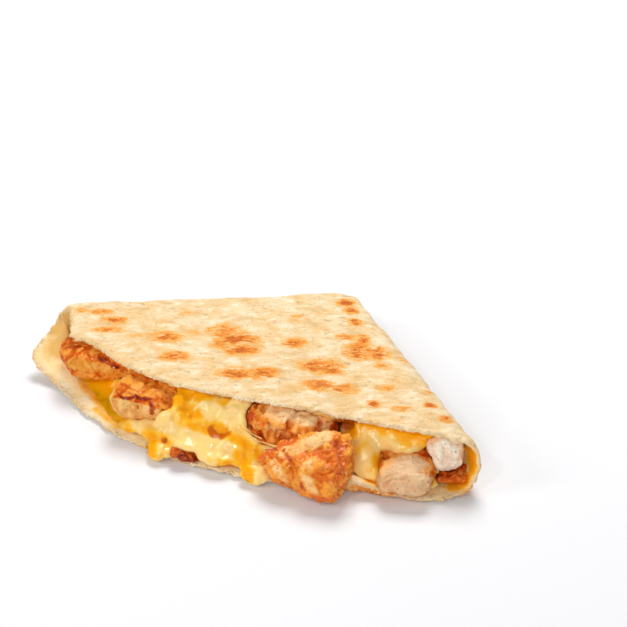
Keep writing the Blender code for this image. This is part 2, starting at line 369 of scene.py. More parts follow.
def cut(shape: Shape, place: Triple, away: Triple) -> None:
    """Cuts off what lies on one side of a plane and closes the cut.

    Args:
        shape: the editable mesh, in metres.
        place: a point of the plane, in mm.
        away: the direction that is cut off.
    """
    every = shape.verts[:] + shape.edges[:] + shape.faces[:]
    plane = {"plane_co": Vector(place) * MM, "plane_no": Vector(away)}
    bmesh.ops.bisect_plane(shape, geom=every, dist=1e-7, clear_outer=True, **plane)
    rim = [edge for edge in shape.edges if len(edge.link_faces) == 1]
    bmesh.ops.triangle_fill(shape, edges=rim, use_beauty=True)
    bmesh.ops.recalc_face_normals(shape, faces=shape.faces)


def refined(mesh: Mesh, voxel: float, rounds: int, factor: float) -> Mesh:
    """One even skin over everything in a mesh, lightly smoothed.

    Args:
        mesh: closed shapes, which may overlap. It is removed.
        voxel: the width of the new faces, in mm.
        rounds: how many times the skin is smoothed.
        factor: how much each time.

    Returns:
        The new mesh, shaded smooth.
    """
    holder = linked("holder", mesh)
    skin = holder.modifiers.new("skin", "REMESH")
    skin.mode = "VOXEL"
    skin.voxel_size = voxel * MM
    calm = holder.modifiers.new("calm", "SMOOTH")
    calm.factor = factor
    calm.iterations = rounds
    made = bpy.data.meshes.new_from_object(holder.evaluated_get(bpy.context.evaluated_depsgraph_get()))
    bpy.data.objects.remove(holder)
    bpy.data.meshes.remove(mesh)
    drop_specks(made)
    made.shade_smooth()
    return made


def drop_specks(mesh: Mesh, least: int = 400) -> None:
    """Removes loose bits from a mesh.

    Args:
        mesh: the mesh, which is changed.
        least: how many corners a part must have to stay.
    """
    shape = bmesh.new()
    shape.from_mesh(mesh)
    seen = set()
    loose = []
    for start in shape.verts:
        if start in seen:
            continue
        seen.add(start)
        part = [start]
        for vertex in part:
            fresh = {edge.other_vert(vertex) for edge in vertex.link_edges} - seen
            seen |= fresh
            part += fresh
        if len(part) < least:
            loose += part
    if loose:
        LOG.info("%s: %d loose corners dropped", mesh.name, len(loose))
        bmesh.ops.delete(shape, geom=loose, context="VERTS")
        shape.to_mesh(mesh)
    shape.free()


def ease(mesh: Mesh, share: Numbers, rounds: int, pull: float = 0.6) -> None:
    """Smooths part of a mesh by drawing its points towards their neighbours.

    Args:
        mesh: the mesh, which is changed.
        share: how much each point moves, 0 to 1.
        rounds: how many times.
        pull: how far a point moves each time, as a share of the way.
    """
    points = points_of(mesh)
    flat = np.zeros(len(mesh.edges) * 2, int)
    mesh.edges.foreach_get("vertices", flat)
    starts, ends = flat.reshape(-1, 2).T
    size = len(points)
    count = np.bincount(flat, minlength=size)
    step = pull * share
    for _ in range(rounds):
        for axis in range(3):
            values = points[:, axis]
            near = np.bincount(starts, values[ends], size) + np.bincount(ends, values[starts], size)
            points[:, axis] = values + step * (near / count - values)
    move_to(mesh, points)


def blob_into(shape: Shape, middle: Triple, radii: Triple, turn: float) -> None:
    """Adds a round lump to a mesh.

    Args:
        shape: the editable mesh, in metres.
        middle: the lump's middle, in mm.
        radii: its three radii, in mm.
        turn: its turn about the vertical, in degrees.
    """
    spin = Matrix.Rotation(math.radians(turn), 4, "Z")
    place = Matrix.Translation(Vector(middle) * MM) @ spin @ Matrix.Diagonal((*radii, 1000.0)) * MM
    place[3][3] = 1.0
    bmesh.ops.create_icosphere(shape, subdivisions=3, radius=1.0, matrix=place)


def grain_into(shape: Shape, place: Vector, out: Vector, radius: float, flat: float, draw: Draw) -> None:
    """Adds one uneven grain to a mesh.

    Args:
        shape: the mesh it goes into.
        place: where it lies, in metres.
        out: the outward direction there.
        radius: its radius, in mm.
        flat: its height as a share of its width.
        draw: the source of random numbers.
    """
    spin = out.to_track_quat("Z", "Y").to_matrix().to_4x4() @ Matrix.Rotation(draw.uniform(0, 6.3), 4, "Z")
    size = Matrix.Diagonal((radius * draw.uniform(0.7, 1.3), radius, radius * flat, 1000)) * MM
    size[3][3] = 1.0
    bmesh.ops.create_icosphere(shape, subdivisions=2, radius=1.0, matrix=Matrix.Translation(place) @ spin @ size)


def tube_into(shape: Shape, path: Sequence[Triple], radii: Sequence[float], sides: int = 8) -> None:
    """Adds a closed round strand along a path.

    Args:
        shape: the editable mesh, in metres.
        path: the points it follows, in mm.
        radii: its radius at each point, in mm.
        sides: how many sides it has.
    """
    places = [Vector(point) * MM for point in path]
    turns = [2 * math.pi * step / sides for step in range(sides)]
    rings = []
    for index, (place, radius) in enumerate(zip(places, radii)):
        ahead = places[min(index + 1, len(places) - 1)] - places[max(index - 1, 0)]
        spin = ahead.normalized().to_track_quat("Z", "Y")
        around = [Vector((math.cos(turn), math.sin(turn), 0)) * radius * MM for turn in turns]
        rings.append([shape.verts.new(place + spin @ offset) for offset in around])
    for low, high in zip(rings, rings[1:]):
        for step in range(sides):
            after = (step + 1) % sides
            shape.faces.new((low[step], low[after], high[after], high[step]))
    shape.faces.new(rings[0][::-1])
    shape.faces.new(rings[-1])


def curve_through(points: Sequence[Triple], steps: int = 6) -> list[Triple]:
    """A smooth path through a few points.

    Args:
        points: the points, in mm.
        steps: how many new points between each two.

    Returns:
        The points of the path.
    """
    known = np.array((points[0], *points, points[-1]), float)
    path = []
    for before, start, end, after in zip(known, known[1:], known[2:], known[3:]):
        for share in (step / steps for step in range(steps)):
            bend = (2 * before - 5 * start + 4 * end - after) * share**2
            twist = (3 * start - before - 3 * end + after) * share**3
            path.append(0.5 * (2 * start + (end - before) * share + bend + twist))
    return [tuple(point.tolist()) for point in (*path, known[-1])]


def piece(mesh: Mesh, name: str, finish: "Finish", nodes: Iterable[str] = ()) -> None:
    """Puts a mesh in the scene as a piece of the wedge.

    Args:
        mesh: its mesh, in metres, where it belongs.
        name: the piece's name.
        finish: what it is dressed in.
        nodes: the CAD nodes that it stands for.
    """
    made = linked(name, mesh)
    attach(made, "root")
    for node in nodes:
        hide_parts(node)
    finish.dress(made)
    LOG.info("%s: %d faces", name, len(mesh.polygons))


# ---- Shaders ----


class Value:
    """One socket of a material's nodes, with arithmetic that adds Math nodes."""

    def __init__(self, recipe: "Recipe", socket: bpy.types.NodeSocket) -> None:
        """Keeps the socket and the recipe it belongs to."""
        self.recipe = recipe
        self.socket = socket

    def _math(self, operation: str, *values: "Value | float") -> "Value":
        """A Math node on the given values."""
        return self.recipe.node("ShaderNodeMath", {"operation": operation}, dict(enumerate(values)))

    def __add__(self, other: "Value | float") -> "Value":
        """self + other."""
        return self._math("ADD", self, other)

    def __radd__(self, other: float) -> "Value":
        """other + self."""
        return self._math("ADD", other, self)

    def __sub__(self, other: "Value | float") -> "Value":
        """self - other."""
        return self._math("SUBTRACT", self, other)

    def __rsub__(self, other: float) -> "Value":
        """other - self."""
        return self._math("SUBTRACT", other, self)

    def __mul__(self, other: "Value | float") -> "Value":
        """self * other."""
        return self._math("MULTIPLY", self, other)

    def __rmul__(self, other: float) -> "Value":
        """other * self."""
        return self._math("MULTIPLY", other, self)

    def over(self, low: float, high: float) -> "Value":
        """0 below low, 1 above high, and an even curve between."""
        sockets = {"Value": self, "From Min": low, "From Max": high}
        return self.recipe.node("ShaderNodeMapRange", {"interpolation_type": "SMOOTHSTEP"}, sockets)


class Recipe:
    """A material being made: its nodes, its shader and the shortcuts that the finishes share."""

    def __init__(self, name: str, **shader: float | tuple) -> None:
        """Starts a material with one shader.

        Args:
            name: the material's name.
            shader: values that are the same all over, by socket name with _ for each space.
        """
        self.material = bpy.data.materials.new(name)
        self.material.use_nodes = True
        self.tree = self.material.node_tree
        self.tree.nodes.clear()
        self.shader = self.tree.nodes.new("ShaderNodeBsdfPrincipled")
        output = self.tree.nodes.new("ShaderNodeOutputMaterial")
        self.tree.links.new(self.shader.outputs[0], output.inputs[0])
        self.feed(**shader)

    def _give(self, socket: bpy.types.NodeSocket, value: Value | float | tuple) -> None:
        """Links a value to a socket, or sets it there if it is a plain number or colour.

        Args:
            socket: the socket.
            value: what it gets.
        """
        if isinstance(value, Value):
            self.tree.links.new(value.socket, socket)
        else:
            socket.default_value = value

    def feed(self, **sockets: Value | float | tuple) -> None:
        """Gives the shader's sockets their values.

        Args:
            sockets: the values, by socket name with _ for each space.
        """
        for name, value in sockets.items():
            self._give(self.shader.inputs[name.replace("_", " ")], value)

    def node(
        self, kind: str, settings: dict | None = None, sockets: dict | None = None, output: int | str = 0
    ) -> Value:
        """Adds a node.

        Args:
            kind: its type.
            settings: its own settings, which are set first.
            sockets: the values or links of its sockets, by name or number.
            output: which of its outputs is wanted.

        Returns:
            That output.
        """
        made = self.tree.nodes.new(kind)
        for name, value in (settings or {}).items():
            setattr(made, name, value)
        for name, value in (sockets or {}).items():
            self._give(made.inputs[name], value)
        return Value(self, made.outputs[output])

    def place(self, stretch: Triple = (1, 1, 1), turn: float = 0.0, shift: float = 0.0) -> Value:
        """Where a point of the surface is, in mm.

        Args:
            stretch: how much longer the pattern gets along each axis.
            turn: how far the pattern is turned about the vertical, in degrees.
            shift: moves the pattern, so that two don't match.

        Returns:
            The place as a vector.
        """
        here = self.node("ShaderNodeTexCoord", output="Object")
        moves = {"Vector": here, "Rotation": (0, 0, math.radians(-turn)), "Location": (shift, shift, shift)}
        turned = self.node("ShaderNodeMapping", sockets=moves)
        scale = tuple(1 / (MM * part) for part in stretch)
        return self.node("ShaderNodeVectorMath", {"operation": "MULTIPLY"}, {0: turned, 1: scale})

    def noise(self, size: float, detail: float = 2.0, at: Value | None = None, rough: float = 0.5) -> Value:
        """Noise from 0 to 1.

        Args:
            size: the width of the widest waves, in mm.
            detail: how many finer layers.
            at: the place to read it at, if it isn't the plain one.
            rough: how strong the finer layers are.

        Returns:
            The noise.
        """
        sockets = {"Vector": at or self.place(), "Scale": 1 / size, "Detail": detail, "Roughness": rough}
        return self.node("ShaderNodeTexNoise", sockets=sockets)

    def kept(self, name: str) -> Value:
        """The numbers that a mesh keeps under this name."""
        return self.node("ShaderNodeAttribute", {"attribute_name": name}, output="Fac")

    @staticmethod
    def paint(tone: Tone) -> tuple[float, ...]:
        """A colour given as 0 to 255 on a screen, as the linear colour that a shader takes."""
        shares = [part / 255 for part in tone]
        return (*(part / 12.92 if part <= 0.04045 else ((part + 0.055) / 1.055) ** 2.4 for part in shares), 1.0)

    def coats(self, under: Value | Tone, *coats: tuple[Value | Tone, Value | float]) -> Value:
        """Colours laid over each other.

        Args:
            under: the colour that lies lowest.
            coats: each colour over it, and how much of it shows.

        Returns:
            The colour that shows.
        """
        for tone, share in coats:
            first, second = (part if isinstance(part, Value) else self.paint(part) for part in (under, tone))
            settings = {"data_type": "RGBA", "clamp_factor": True}
            under = self.node("ShaderNodeMix", settings, {0: share, 6: first, 7: second}, output=2)
        return under

    def relief(self, height: Value, distance: float, strength: float = 1.0) -> Value:
        """Bumps for the shader's normal.

        Args:
            height: 0 to 1.
            distance: how high 1 is, in mm.
            strength: how much of it shows.

        Returns:
            The normal.
        """
        return self.node("ShaderNodeBump", sockets={"Height": height, "Distance": distance * MM, "Strength": strength})


class Finish:
    """What every finish does: it makes its material once and dresses pieces in it."""

    name: str

    def recipe(self) -> Recipe:
        """Makes the material. Each finish has its own."""
        raise NotImplementedError

    def dress(self, made: bpy.types.Object) -> None:
        """Puts the finish on a piece."""
        made.data.materials.clear()
        made.data.materials.append(bpy.data.materials.get(self.name) or self.recipe().material)


@dataclass(frozen=True)
class TortillaFinish(Finish):
    """Griddled flour tortilla: cream dough, grey-olive flecks, toasted patches, an oily inner face.

    The mesh keeps toast, inside, rim, grease and shade, each 0 to 1.
    """

    name: str = "tortilla_griddled"
    pale: Tone = (236, 210, 168)
    dough: Tone = (231, 195, 140)
    bloom: Tone = (247, 231, 202)
    pit: Tone = (208, 170, 114)
    fleck: Tone = (184, 150, 98)
    amber: Tone = (236, 166, 66)
    singed: Tone = (226, 132, 36)
    brown: Tone = (192, 92, 20)
    lining: Tone = (255, 226, 166)
    honey: Tone = (255, 200, 84)
    gold: Tone = (214, 160, 66)
    orange: Tone = (250, 162, 6)

    def recipe(self) -> Recipe:
        """Cream dough with specks and toasted patches outside, smooth and stained inside.

        Returns:
            The material.
        """
        mat = Recipe(
            self.name, Subsurface_Weight=0.12, Subsurface_Radius=(1.0, 0.6, 0.3), Subsurface_Scale=1.6 * MM,
            IOR=1.4, Specular_IOR_Level=0.2,
        )
        inside, rim, toast = mat.kept("inside"), mat.kept("rim"), mat.kept("toast")
        outside = 1 - inside
        barred = mat.place((1.8, 1.0, 1.0), BARS_TURN)
        mottle = mat.noise(3.0, 4.0, barred, 0.6)
        dash = mat.noise(1.6, 3.0, mat.place((1.9, 1.0, 1.0), BARS_TURN, 40.0), 0.6)
        ragged = (mat.noise(5.0, 4.0, barred, 0.7) - 0.5) * 3.0 + (mat.noise(1.5, 3.0, barred, 0.8) - 0.5) * 4.2
        heat = toast * 1.25 - 0.12 + ragged * (toast * 0.8 + 0.2)
        # Painted shade: the inner face is darkened golden where the chicken and the lid shade it.
        cast = mat.kept("shade") + (mat.noise(5.0, 4.0, mat.place(shift=27.0), 0.6) - 0.5) * 0.9
        wet = (mat.kept("grease") + (mat.noise(5.0, 3.0) - 0.5) * 0.5).over(0.25, 0.62)
        lining = mat.coats(
            self.lining,
            (self.bloom, mat.noise(7.0, 3.0).over(0.42, 0.7) * 0.6),
            (self.gold, mat.noise(4.0, 4.0, mat.place(shift=15.0), 0.65).over(0.5, 0.68) * 0.28),
        )
        colour = mat.coats(
            self.pale,
            (self.dough, mat.noise(11.0, 3.0).over(0.38, 0.64)),
            (self.pit, (1 - mottle.over(0.34, 0.5)) * 0.55),
            (self.bloom, mottle.over(0.52, 0.68) * 0.8),
            (self.amber, mat.noise(7.0, 4.0, barred).over(0.55, 0.78) * outside * 0.45),
            (self.fleck, dash.over(0.57, 0.7) * outside * 0.6),
            (self.fleck, mat.noise(0.8, 1.0, mat.place(shift=90.0)).over(0.66, 0.76) * 0.6),
            (self.amber, heat.over(0.15, 0.42) * 0.8),
            (self.singed, heat.over(0.46, 0.76) * 0.85),
            (self.brown, heat.over(0.84, 1.2) * 0.9),
            (lining, inside * (1 - rim * 0.8)),
            (self.gold, cast.over(0.2, 1.0) * 0.8),
            (self.honey, wet.over(0.0, 0.4) * 0.9),
            (self.orange, wet.over(0.3, 1.0) * 0.95),
        )
        dry = 0.66 - heat.over(0.6, 1.2) * 0.12 - inside * 0.14
        grain = mottle * 0.55 + mat.noise(0.8, 3.0) * 0.3 + dash * 0.35 - inside * mottle * 0.3
        mat.feed(Base_Color=colour, Roughness=dry - wet * 0.24, Coat_Weight=wet * 0.15)
        mat.feed(Normal=mat.relief(grain, 0.9, 0.8))
        return mat


@dataclass(frozen=True)
class CheeseFinish(Finish):
    """Two melted cheeses run together: pale cream lumps in a saturated orange-yellow.

    The mesh keeps crest (-1 to 1), orange (-1 to 1) and scorch (0 to 1).
    """

    name: str = "cheese_melted"
    cream: Tone = (253, 211, 131)
    yellow: Tone = (252, 189, 44)
    deep: Tone = (250, 167, 3)
    brown: Tone = (196, 88, 8)

    def recipe(self) -> Recipe:
        """Cream and orange in swirls, wet all over, with a few browned dents and painted shade in one dark hole.

        Returns:
            The material.
        """
        mat = Recipe(
            self.name, Subsurface_Weight=0.42, Subsurface_Radius=(1.0, 0.55, 0.12), Subsurface_Scale=2.6 * MM,
            IOR=1.42, Specular_IOR_Level=0.12, Coat_Roughness=0.05, Coat_IOR=1.45,
        )
        swirl = mat.noise(9.0, 3.0, rough=0.45)
        streak = mat.noise(3.2, 3.0)
        deepness = mat.kept("orange") + (swirl - 0.5) * 1.2 + (streak - 0.5) * 0.4 - mat.kept("crest") * 0.3
        browning_and_hole_shade = mat.kept("scorch") + (streak - 0.5) * 0.7
        mat.feed(
            Base_Color=mat.coats(
                self.cream,
                (self.yellow, deepness.over(-0.1, 0.36)),
                (self.deep, deepness.over(0.2, 0.8)),
                (self.brown, browning_and_hole_shade.over(0.35, 0.85) * 0.9),
            ),
            Roughness=0.2 + mat.noise(4.0, 3.0).over(0.3, 0.8) * 0.2,
            Coat_Weight=0.7 - deepness.over(0.1, 0.7) * 0.4 - browning_and_hole_shade.over(0.3, 0.8) * 0.15,
            Normal=mat.relief(mat.noise(1.3, 3.0) * 0.6 + streak * 0.6, 0.28, 0.6),
        )
        return mat


@dataclass(frozen=True)
class ChickenFinish(Finish):
    """Grilled chicken: a glazed orange-brown crust, dark ridges and pale torn or cut faces.

    The mesh keeps pale (0 to 1), char (0 to 1) and crest (-1 to 1).
    """

    name: str = "chicken_grilled"
    crust: Tone = (216, 106, 8)
    golden: Tone = (240, 158, 60)
    ember: Tone = (190, 64, 2)
    soot: Tone = (96, 26, 4)
    flesh: Tone = (241, 193, 118)
    blush: Tone = (226, 157, 80)
    wet: float = 0.35
    seed: float = 0.0

    def recipe(self) -> Recipe:
        """Glaze that pools and browns, over flesh that is pale where it is cut, painted golden on crests and darker
        ember and blush in hollows and cracks as painted shade.

        Returns:
            The material.
        """
        mat = Recipe(
            self.name, Subsurface_Weight=0.1, Subsurface_Radius=(1.0, 0.4, 0.2), Subsurface_Scale=1.0 * MM,
            IOR=1.42, Specular_IOR_Level=0.1, Coat_Roughness=0.08, Coat_IOR=1.33,
        )
        here = mat.place(shift=self.seed)
        cloud = mat.noise(6.0, 4.0, here, 0.6)
        fine = mat.noise(1.7, 3.0, here, 0.6)
        # Painted shade: the colour follows the relief, golden on crests and ember and blush in hollows and cracks.
        crest = mat.kept("crest")
        ruddy_and_hollow_shade = (mat.noise(3.4, 4.0, mat.place(shift=self.seed + 33.0), 0.65) - crest * 0.3).over(0.46, 0.8)
        tender = (mat.kept("pale") + (fine - 0.5) * 0.7 + (cloud - 0.5) * 0.5).over(0.3, 0.7)
        burnt = mat.kept("char") + (fine - 0.5) * 0.8 + (cloud - 0.5) * 0.3
        pepper = mat.noise(0.7, 1.0, mat.place(shift=self.seed + 71.0)).over(0.7, 0.76)
        mat.feed(
            Base_Color=mat.coats(
                self.crust,
                (self.golden, (cloud + crest * 0.3).over(0.32, 0.68)),
                (self.ember, ruddy_and_hollow_shade * 0.6),
                (mat.coats(self.flesh, (self.blush, (cloud - crest * 0.32).over(0.3, 0.68))), tender),
                (self.ember, burnt.over(0.3, 0.62) * 0.92),
                (self.soot, burnt.over(0.62, 1.0) * 0.85),
                (self.soot, pepper * 0.5),
            ),
            Roughness=0.34 + tender * 0.16 + fine * 0.12 - burnt.over(0.4, 0.9) * 0.1,
            Coat_Weight=self.wet - tender * self.wet * 0.6 + burnt.over(0.3, 0.7) * 0.3,
            Normal=mat.relief(fine * 0.75 + mat.noise(0.6, 2.0) * 0.35, 0.9, 0.9),
        )
        return mat


@dataclass(frozen=True)
class PlainFinish(Finish):
    """Two tones in soft patches, for the smallest pieces and the floor."""

    name: str
    first: Tone
    second: Tone
    # How wide the patches are in mm, and where in the noise the second tone starts and is full.
    patch: float
    edges: tuple[float, float]
    # The least roughness, how much more there is in places, and how wide those places are in mm.
    rough: tuple[float, float, float]
    detail: float = 2.0
    # How wide and how high its grain is in mm, if it has any.
    grain: tuple[float, float] | None = None
    shader: tuple[tuple[str, float], ...] = ()

    def recipe(self) -> Recipe:
        """Both tones, an uneven sheen and, where there is one, a fine grain.

        Returns:
            The material.
        """
        mat = Recipe(self.name, **dict(self.shader))
        least, more, size = self.rough
        tones = mat.coats(self.first, (self.second, mat.noise(self.patch, self.detail).over(*self.edges)))
        mat.feed(Base_Color=tones, Roughness=least + mat.noise(size) * more)
        if self.grain:
            mat.feed(Normal=mat.relief(mat.noise(self.grain[0]), self.grain[1]))
        return mat


# Beads of cooking juices, clear amber and very glossy.
GLAZE = PlainFinish(
    "glaze_beads", (250, 196, 120), (224, 120, 36), patch=3.0, edges=(0.4, 0.62), rough=(0.06, 0.06, 1.0),
    shader=(
        ("Subsurface_Weight", 0.2), ("Subsurface_Scale", 0.6 * MM), ("IOR", 1.42), ("Coat_Weight", 1.0),
        ("Coat_Roughness", 0.03),
    ),
)
# Ground pepper and dried chilli, dark brown to brick red.
PEPPER = PlainFinish(
    "pepper_ground", (62, 30, 16), (138, 50, 18), patch=2.2, edges=(0.46, 0.56), rough=(0.5, 0.2, 0.5),
    grain=(0.3, 0.1), shader=(("IOR", 1.45),),
)
# The studio's plain pale floor.
FLOOR = PlainFinish(
    "floor_pale", (237, 237, 239), (235, 235, 237), patch=300.0, edges=(0.4, 0.6), rough=(0.85, 0.1, 200.0),
    shader=(("Specular_IOR_Level", 0.0),),
)
DOUGH = TortillaFinish()
MELTED = CheeseFinish()
SEARED = ChickenFinish()
GOLDEN = ChickenFinish("chicken_golden", flesh=(236, 172, 80), blush=(224, 140, 40), wet=0.3)
TENDER = ChickenFinish(
    "chicken_tender", crust=(222, 122, 26), golden=(242, 166, 74), flesh=(248, 208, 154), blush=(236, 180, 118),
    seed=9.0,
)
BASTED = ChickenFinish(
    "chicken_basted", crust=(220, 106, 12), golden=(245, 160, 50), ember=(226, 108, 26), soot=(160, 56, 8),
    flesh=(252, 206, 138), blush=(240, 172, 92), wet=0.7, seed=20.0,
)
SAUCY = ChickenFinish(
    "chicken_saucy", crust=(222, 122, 34), golden=(240, 172, 92), flesh=(231, 193, 150), blush=(221, 174, 128),
    wet=0.3, seed=50.0,
)
# Pale chicken painted brighter than the saucy piece's, to make up for the lid's shade over the piece by the fold:
# painted light.
LIT_WHITE = ChickenFinish(
    "chicken_white_lit", crust=(232, 168, 100), golden=(244, 196, 140), flesh=(252, 234, 210), blush=(240, 212, 182),
    wet=0.2, seed=60.0,
)
CHARRED = ChickenFinish(
    "chicken_charred", crust=(164, 56, 6), golden=(212, 98, 16), ember=(118, 30, 4), soot=(62, 14, 3), wet=0.6,
    seed=80.0,
)
STICKY = ChickenFinish(
    "chicken_sticky", crust=(190, 70, 6), golden=(226, 112, 18), ember=(146, 36, 4), wet=0.5, seed=70.0
)


# ---- Pieces ----


@dataclass
class Tortilla:
    """The folded sheet: a ragged rim, soft waves, blisters where it browned."""

    voxel: float = 0.77
    # What counts as rim: how squarely a face looks away from the corner and how far from it it is.
    rim_facing: float = 0.55
    rim_reach: float = 55.0
    rim_width: float = 3.4
    # The thin end of the filling, which lines the sheet: how far it reaches under the thick part, how much it
    # swells, over what width and down to what height it sinks, where it ends, and between which x and before
    # which x it is flattened.
    lining_under: float = 3.0
    lining_swell: float = 0.5
    lining_fade: float = 1.5
    lining_low: float = 1.6
    lining_end: float = -34.0
    lining_flat: tuple[float, float] = (-76.0, -68.0)
    lining_before: float = -30.0
    ease_rounds: int = 40
    # The lid is above this height.
    lid: tuple[float, float] = (17.0, 18.2)
    # How high its broad waves, its ripples and its blisters are, and how ragged and flaky its rim is.
    wave: float = 0.5
    ripple: float = 0.34
    blister: float = 0.35
    torn: float = 0.6
    notched: float = 0.5
    flaky: float = 0.4
    # Toasted patches on the lid: place, length along the bars and width across them in mm, strength.
    toasted: tuple[tuple[float, float, float, float, float], ...] = (
        (-24, 3, 9, 7, 0.75), (-17, 1, 8, 7, 1), (-13, -5, 8, 6, 0.95), (-21, -6, 6, 5, 0.7),
        (-42, -12, 7, 5, 0.95), (-30, -23, 7, 5.5, 0.9), (-35, -5, 4, 3, 0.6), (-44, 8, 6, 4, 0.45),
        (-7, -3, 3, 2.5, 0.65), (-4, -21, 8, 5, 1), (4, -16, 7, 5, 1), (3, 10, 6, 4.5, 0.85), (18, -1, 7, 6, 0.95),
        (24, 2, 6, 6, 0.9), (26, -11, 7, 5, 0.95), (34, -9, 7, 4.5, 0.95), (27, 17, 7, 7, 1), (34, 20, 5, 6, 0.95),
        (39, 13, 5, 4, 0.55), (24, 27, 3, 5, 0.95), (17, 24, 5, 3.2, 0.75), (15, 36, 3, 3, 1.05),
        (9, 43, 3.2, 3.2, 1.05), (4, 48, 4, 4, 1.05), (-6, 27, 6, 4, 0.5), (-73, -11, 5, 2.6, 0.9),
        (-66, -13, 6, 3, 1), (-63, -18, 8, 2.6, 0.8), (-53, -18, 5, 2.2, 0.5), (-80, -15, 2.4, 2, 0.7),
        (49, -12, 2.8, 2.6, 1.15), (48, 0, 4, 3, 0.5), (60, -10, 5, 2.6, 0.6), (67, -2, 2.6, 2.2, 1.1),
        (76, -7, 3, 2.3, 1.05), (62, 6, 3, 2.6, 0.5), (-8, -28, 6, 3, 0.35), (44, 22, 6, 4, 0.4),
    )
    # The lower layer of the sheet that shows under its front rim: middle, radii, turn.
    layers: tuple[tuple[Triple, Triple, float], ...] = (
        ((60, -30.8, 1.7), (11, 3.4, 1.6), 7), ((51, -33.5, 1.6), (6, 3.2, 1.5), -6),
    )
    # Where the outer face is golden low down at the front.
    edge_toasted: Marks = (
        Spot((58, -34, 1.4), (12, 4, 3), 7, 0.9), Spot((72, -31.5, 1.6), (10, 5, 2.6), 25, 0.55),
        Spot((90, -17.5, 3), (5, 6, 3.4), 0, 0.9), Spot((93, -13.5, 9), (4, 4, 8), 0, 0.7),
        Streak(((-60, -42, 2), (-35, -52, 2), (-10, -55, 2), (20, -55, 2), (40, -52, 2)), 2.4, 0.7),
    )
    # Cheese oil soaked into the inner face, and where the inner face is in golden shade.
    greased: Marks = (
        Streak(((-68, -33, 5), (-58, -38, 3), (-46, -44, 3), (-36, -48, 3)), 4, 0.5),
        Streak(((-54, -43.5, 3), (-46, -47, 2.6), (-37, -51, 2.4), (-28, -54, 2)), 3.4, 0.5),
        Spot((63, -33, 5), (8, 3, 3), 10, 0.9), Spot((91, -12, 13), (7, 12, 9), 0, 1),
        Spot((88, -16, 4), (9, 8, 5), 0, 0.8), Spot((60, -38, 3), (16, 8, 4), 20, 0.6),
    )
    shaded: Marks = (
        Spot((-86, -19, 16), (10, 9, 9), 20, 1.2), Spot((-83, -26, 11), (9, 8, 7), 0, 1.2),
        Spot((-77, -31, 6), (8, 6, 6), 0, 0.6),
    )

    def build(self) -> Mesh:
        """Makes the sheet's piece.

        Returns:
            Its mesh, for the crumbs on its rim.
        """
        base = welded("tortilla")
        rim_tree, labels, tree = self._sort_faces(base)
        self._line(base)
        for layer in self.layers:
            blob_into(base, *layer)
        mesh = refined(to_mesh(base, "tortilla"), self.voxel, 2, 0.5)
        points = points_of(mesh)
        lined = smooth(past_thin_end(points), -4.0, 1.0) * smooth(-points[:, 0], 30.0, 45.0)
        ease(mesh, lined * (labels[nearest(mesh, tree, FACE)] > 0.75), self.ease_rounds)
        inside = labels[nearest(mesh, tree, FACE)]
        rim = 1 - smooth(np.array(nearest(mesh, rim_tree, GAP)) / MM, 0.0, self.rim_width)
        toast = self._toast(points_of(mesh), inside)
        self._shape(mesh, inside, rim, toast)
        points = points_of(mesh)
        grease = marks_over(points, self.greased) * np.maximum(inside - rim * 0.5, rim * 0.2)
        keep(mesh, inside=inside, rim=rim, toast=toast, grease=grease, shade=marks_over(points, self.shaded) * inside)
        piece(mesh, "tortilla", DOUGH, ["tortilla"])
        return mesh

    def _sort_faces(self, base: Shape) -> tuple[BVHTree, Numbers, BVHTree]:
        """Tells the sheet's rim, outer face and inner face apart.

        Args:
            base: the welded CAD node.

        Returns:
            A tree of the rim's faces, what each face is (0 outside, 0.5 rim, 1 inside), and a tree of all faces.
        """
        base.faces.ensure_lookup_table()
        corner = Vector(CORNER) * MM
        rim = set()
        for face in base.faces:
            away = face.calc_center_median() - corner
            away.z = 0
            if away.length > self.rim_reach * MM and face.normal.dot(away.normalized()) > self.rim_facing:
                rim.add(face.index)
        lowest = min((face for face in base.faces if face.index not in rim), key=lambda f: f.calc_center_median().z)
        outer = {lowest.index}
        wave = [lowest]
        while wave:
            for edge in wave.pop().edges:
                for other in edge.link_faces:
                    if other.index not in outer and other.index not in rim:
                        outer.add(other.index)
                        wave.append(other)
        labels = [0.0 if face.index in outer else 0.5 if face.index in rim else 1.0 for face in base.faces]
        places = [vertex.co.copy() for vertex in base.verts]
        rim_faces = [[vertex.index for vertex in base.faces[index].verts] for index in sorted(rim)]
        LOG.info("tortilla: %d faces on the rim, %d inside", len(rim), labels.count(1.0))
        return BVHTree.FromPolygons(places, rim_faces), np.array(labels), BVHTree.FromBMesh(base)

    def _line(self, base: Shape) -> None:
        """Adds the thin end of the filling to the sheet, as part of its inner face.

        Args:
            base: the welded CAD node, which is added to.
        """
        thin = welded("cheese")
        place = np.array(THIN_END) - self.lining_under * np.array(THIN_WAY)
        cut(thin, tuple(place), tuple(-part for part in THIN_WAY))
        cut(thin, (self.lining_end, 0.0, 0.0), (1.0, 0.0, 0.0))
        thin.normal_update()
        for vertex in thin.verts:
            vertex.co += vertex.normal * self.lining_swell * MM
            past = (vertex.co / MM - Vector(THIN_END)).dot(Vector(THIN_WAY))
            if past < self.lining_fade and vertex.co.x < self.lining_before * MM:
                share = min(1.0, (self.lining_fade - past) / (self.lining_fade + self.lining_under))
                share *= float(smooth(vertex.co.x / MM, *self.lining_flat))
                vertex.co.z -= share * max(vertex.co.z - self.lining_low * MM, 0.0)
        part = to_mesh(thin, "lining")
        base.from_mesh(part)
        bpy.data.meshes.remove(part)

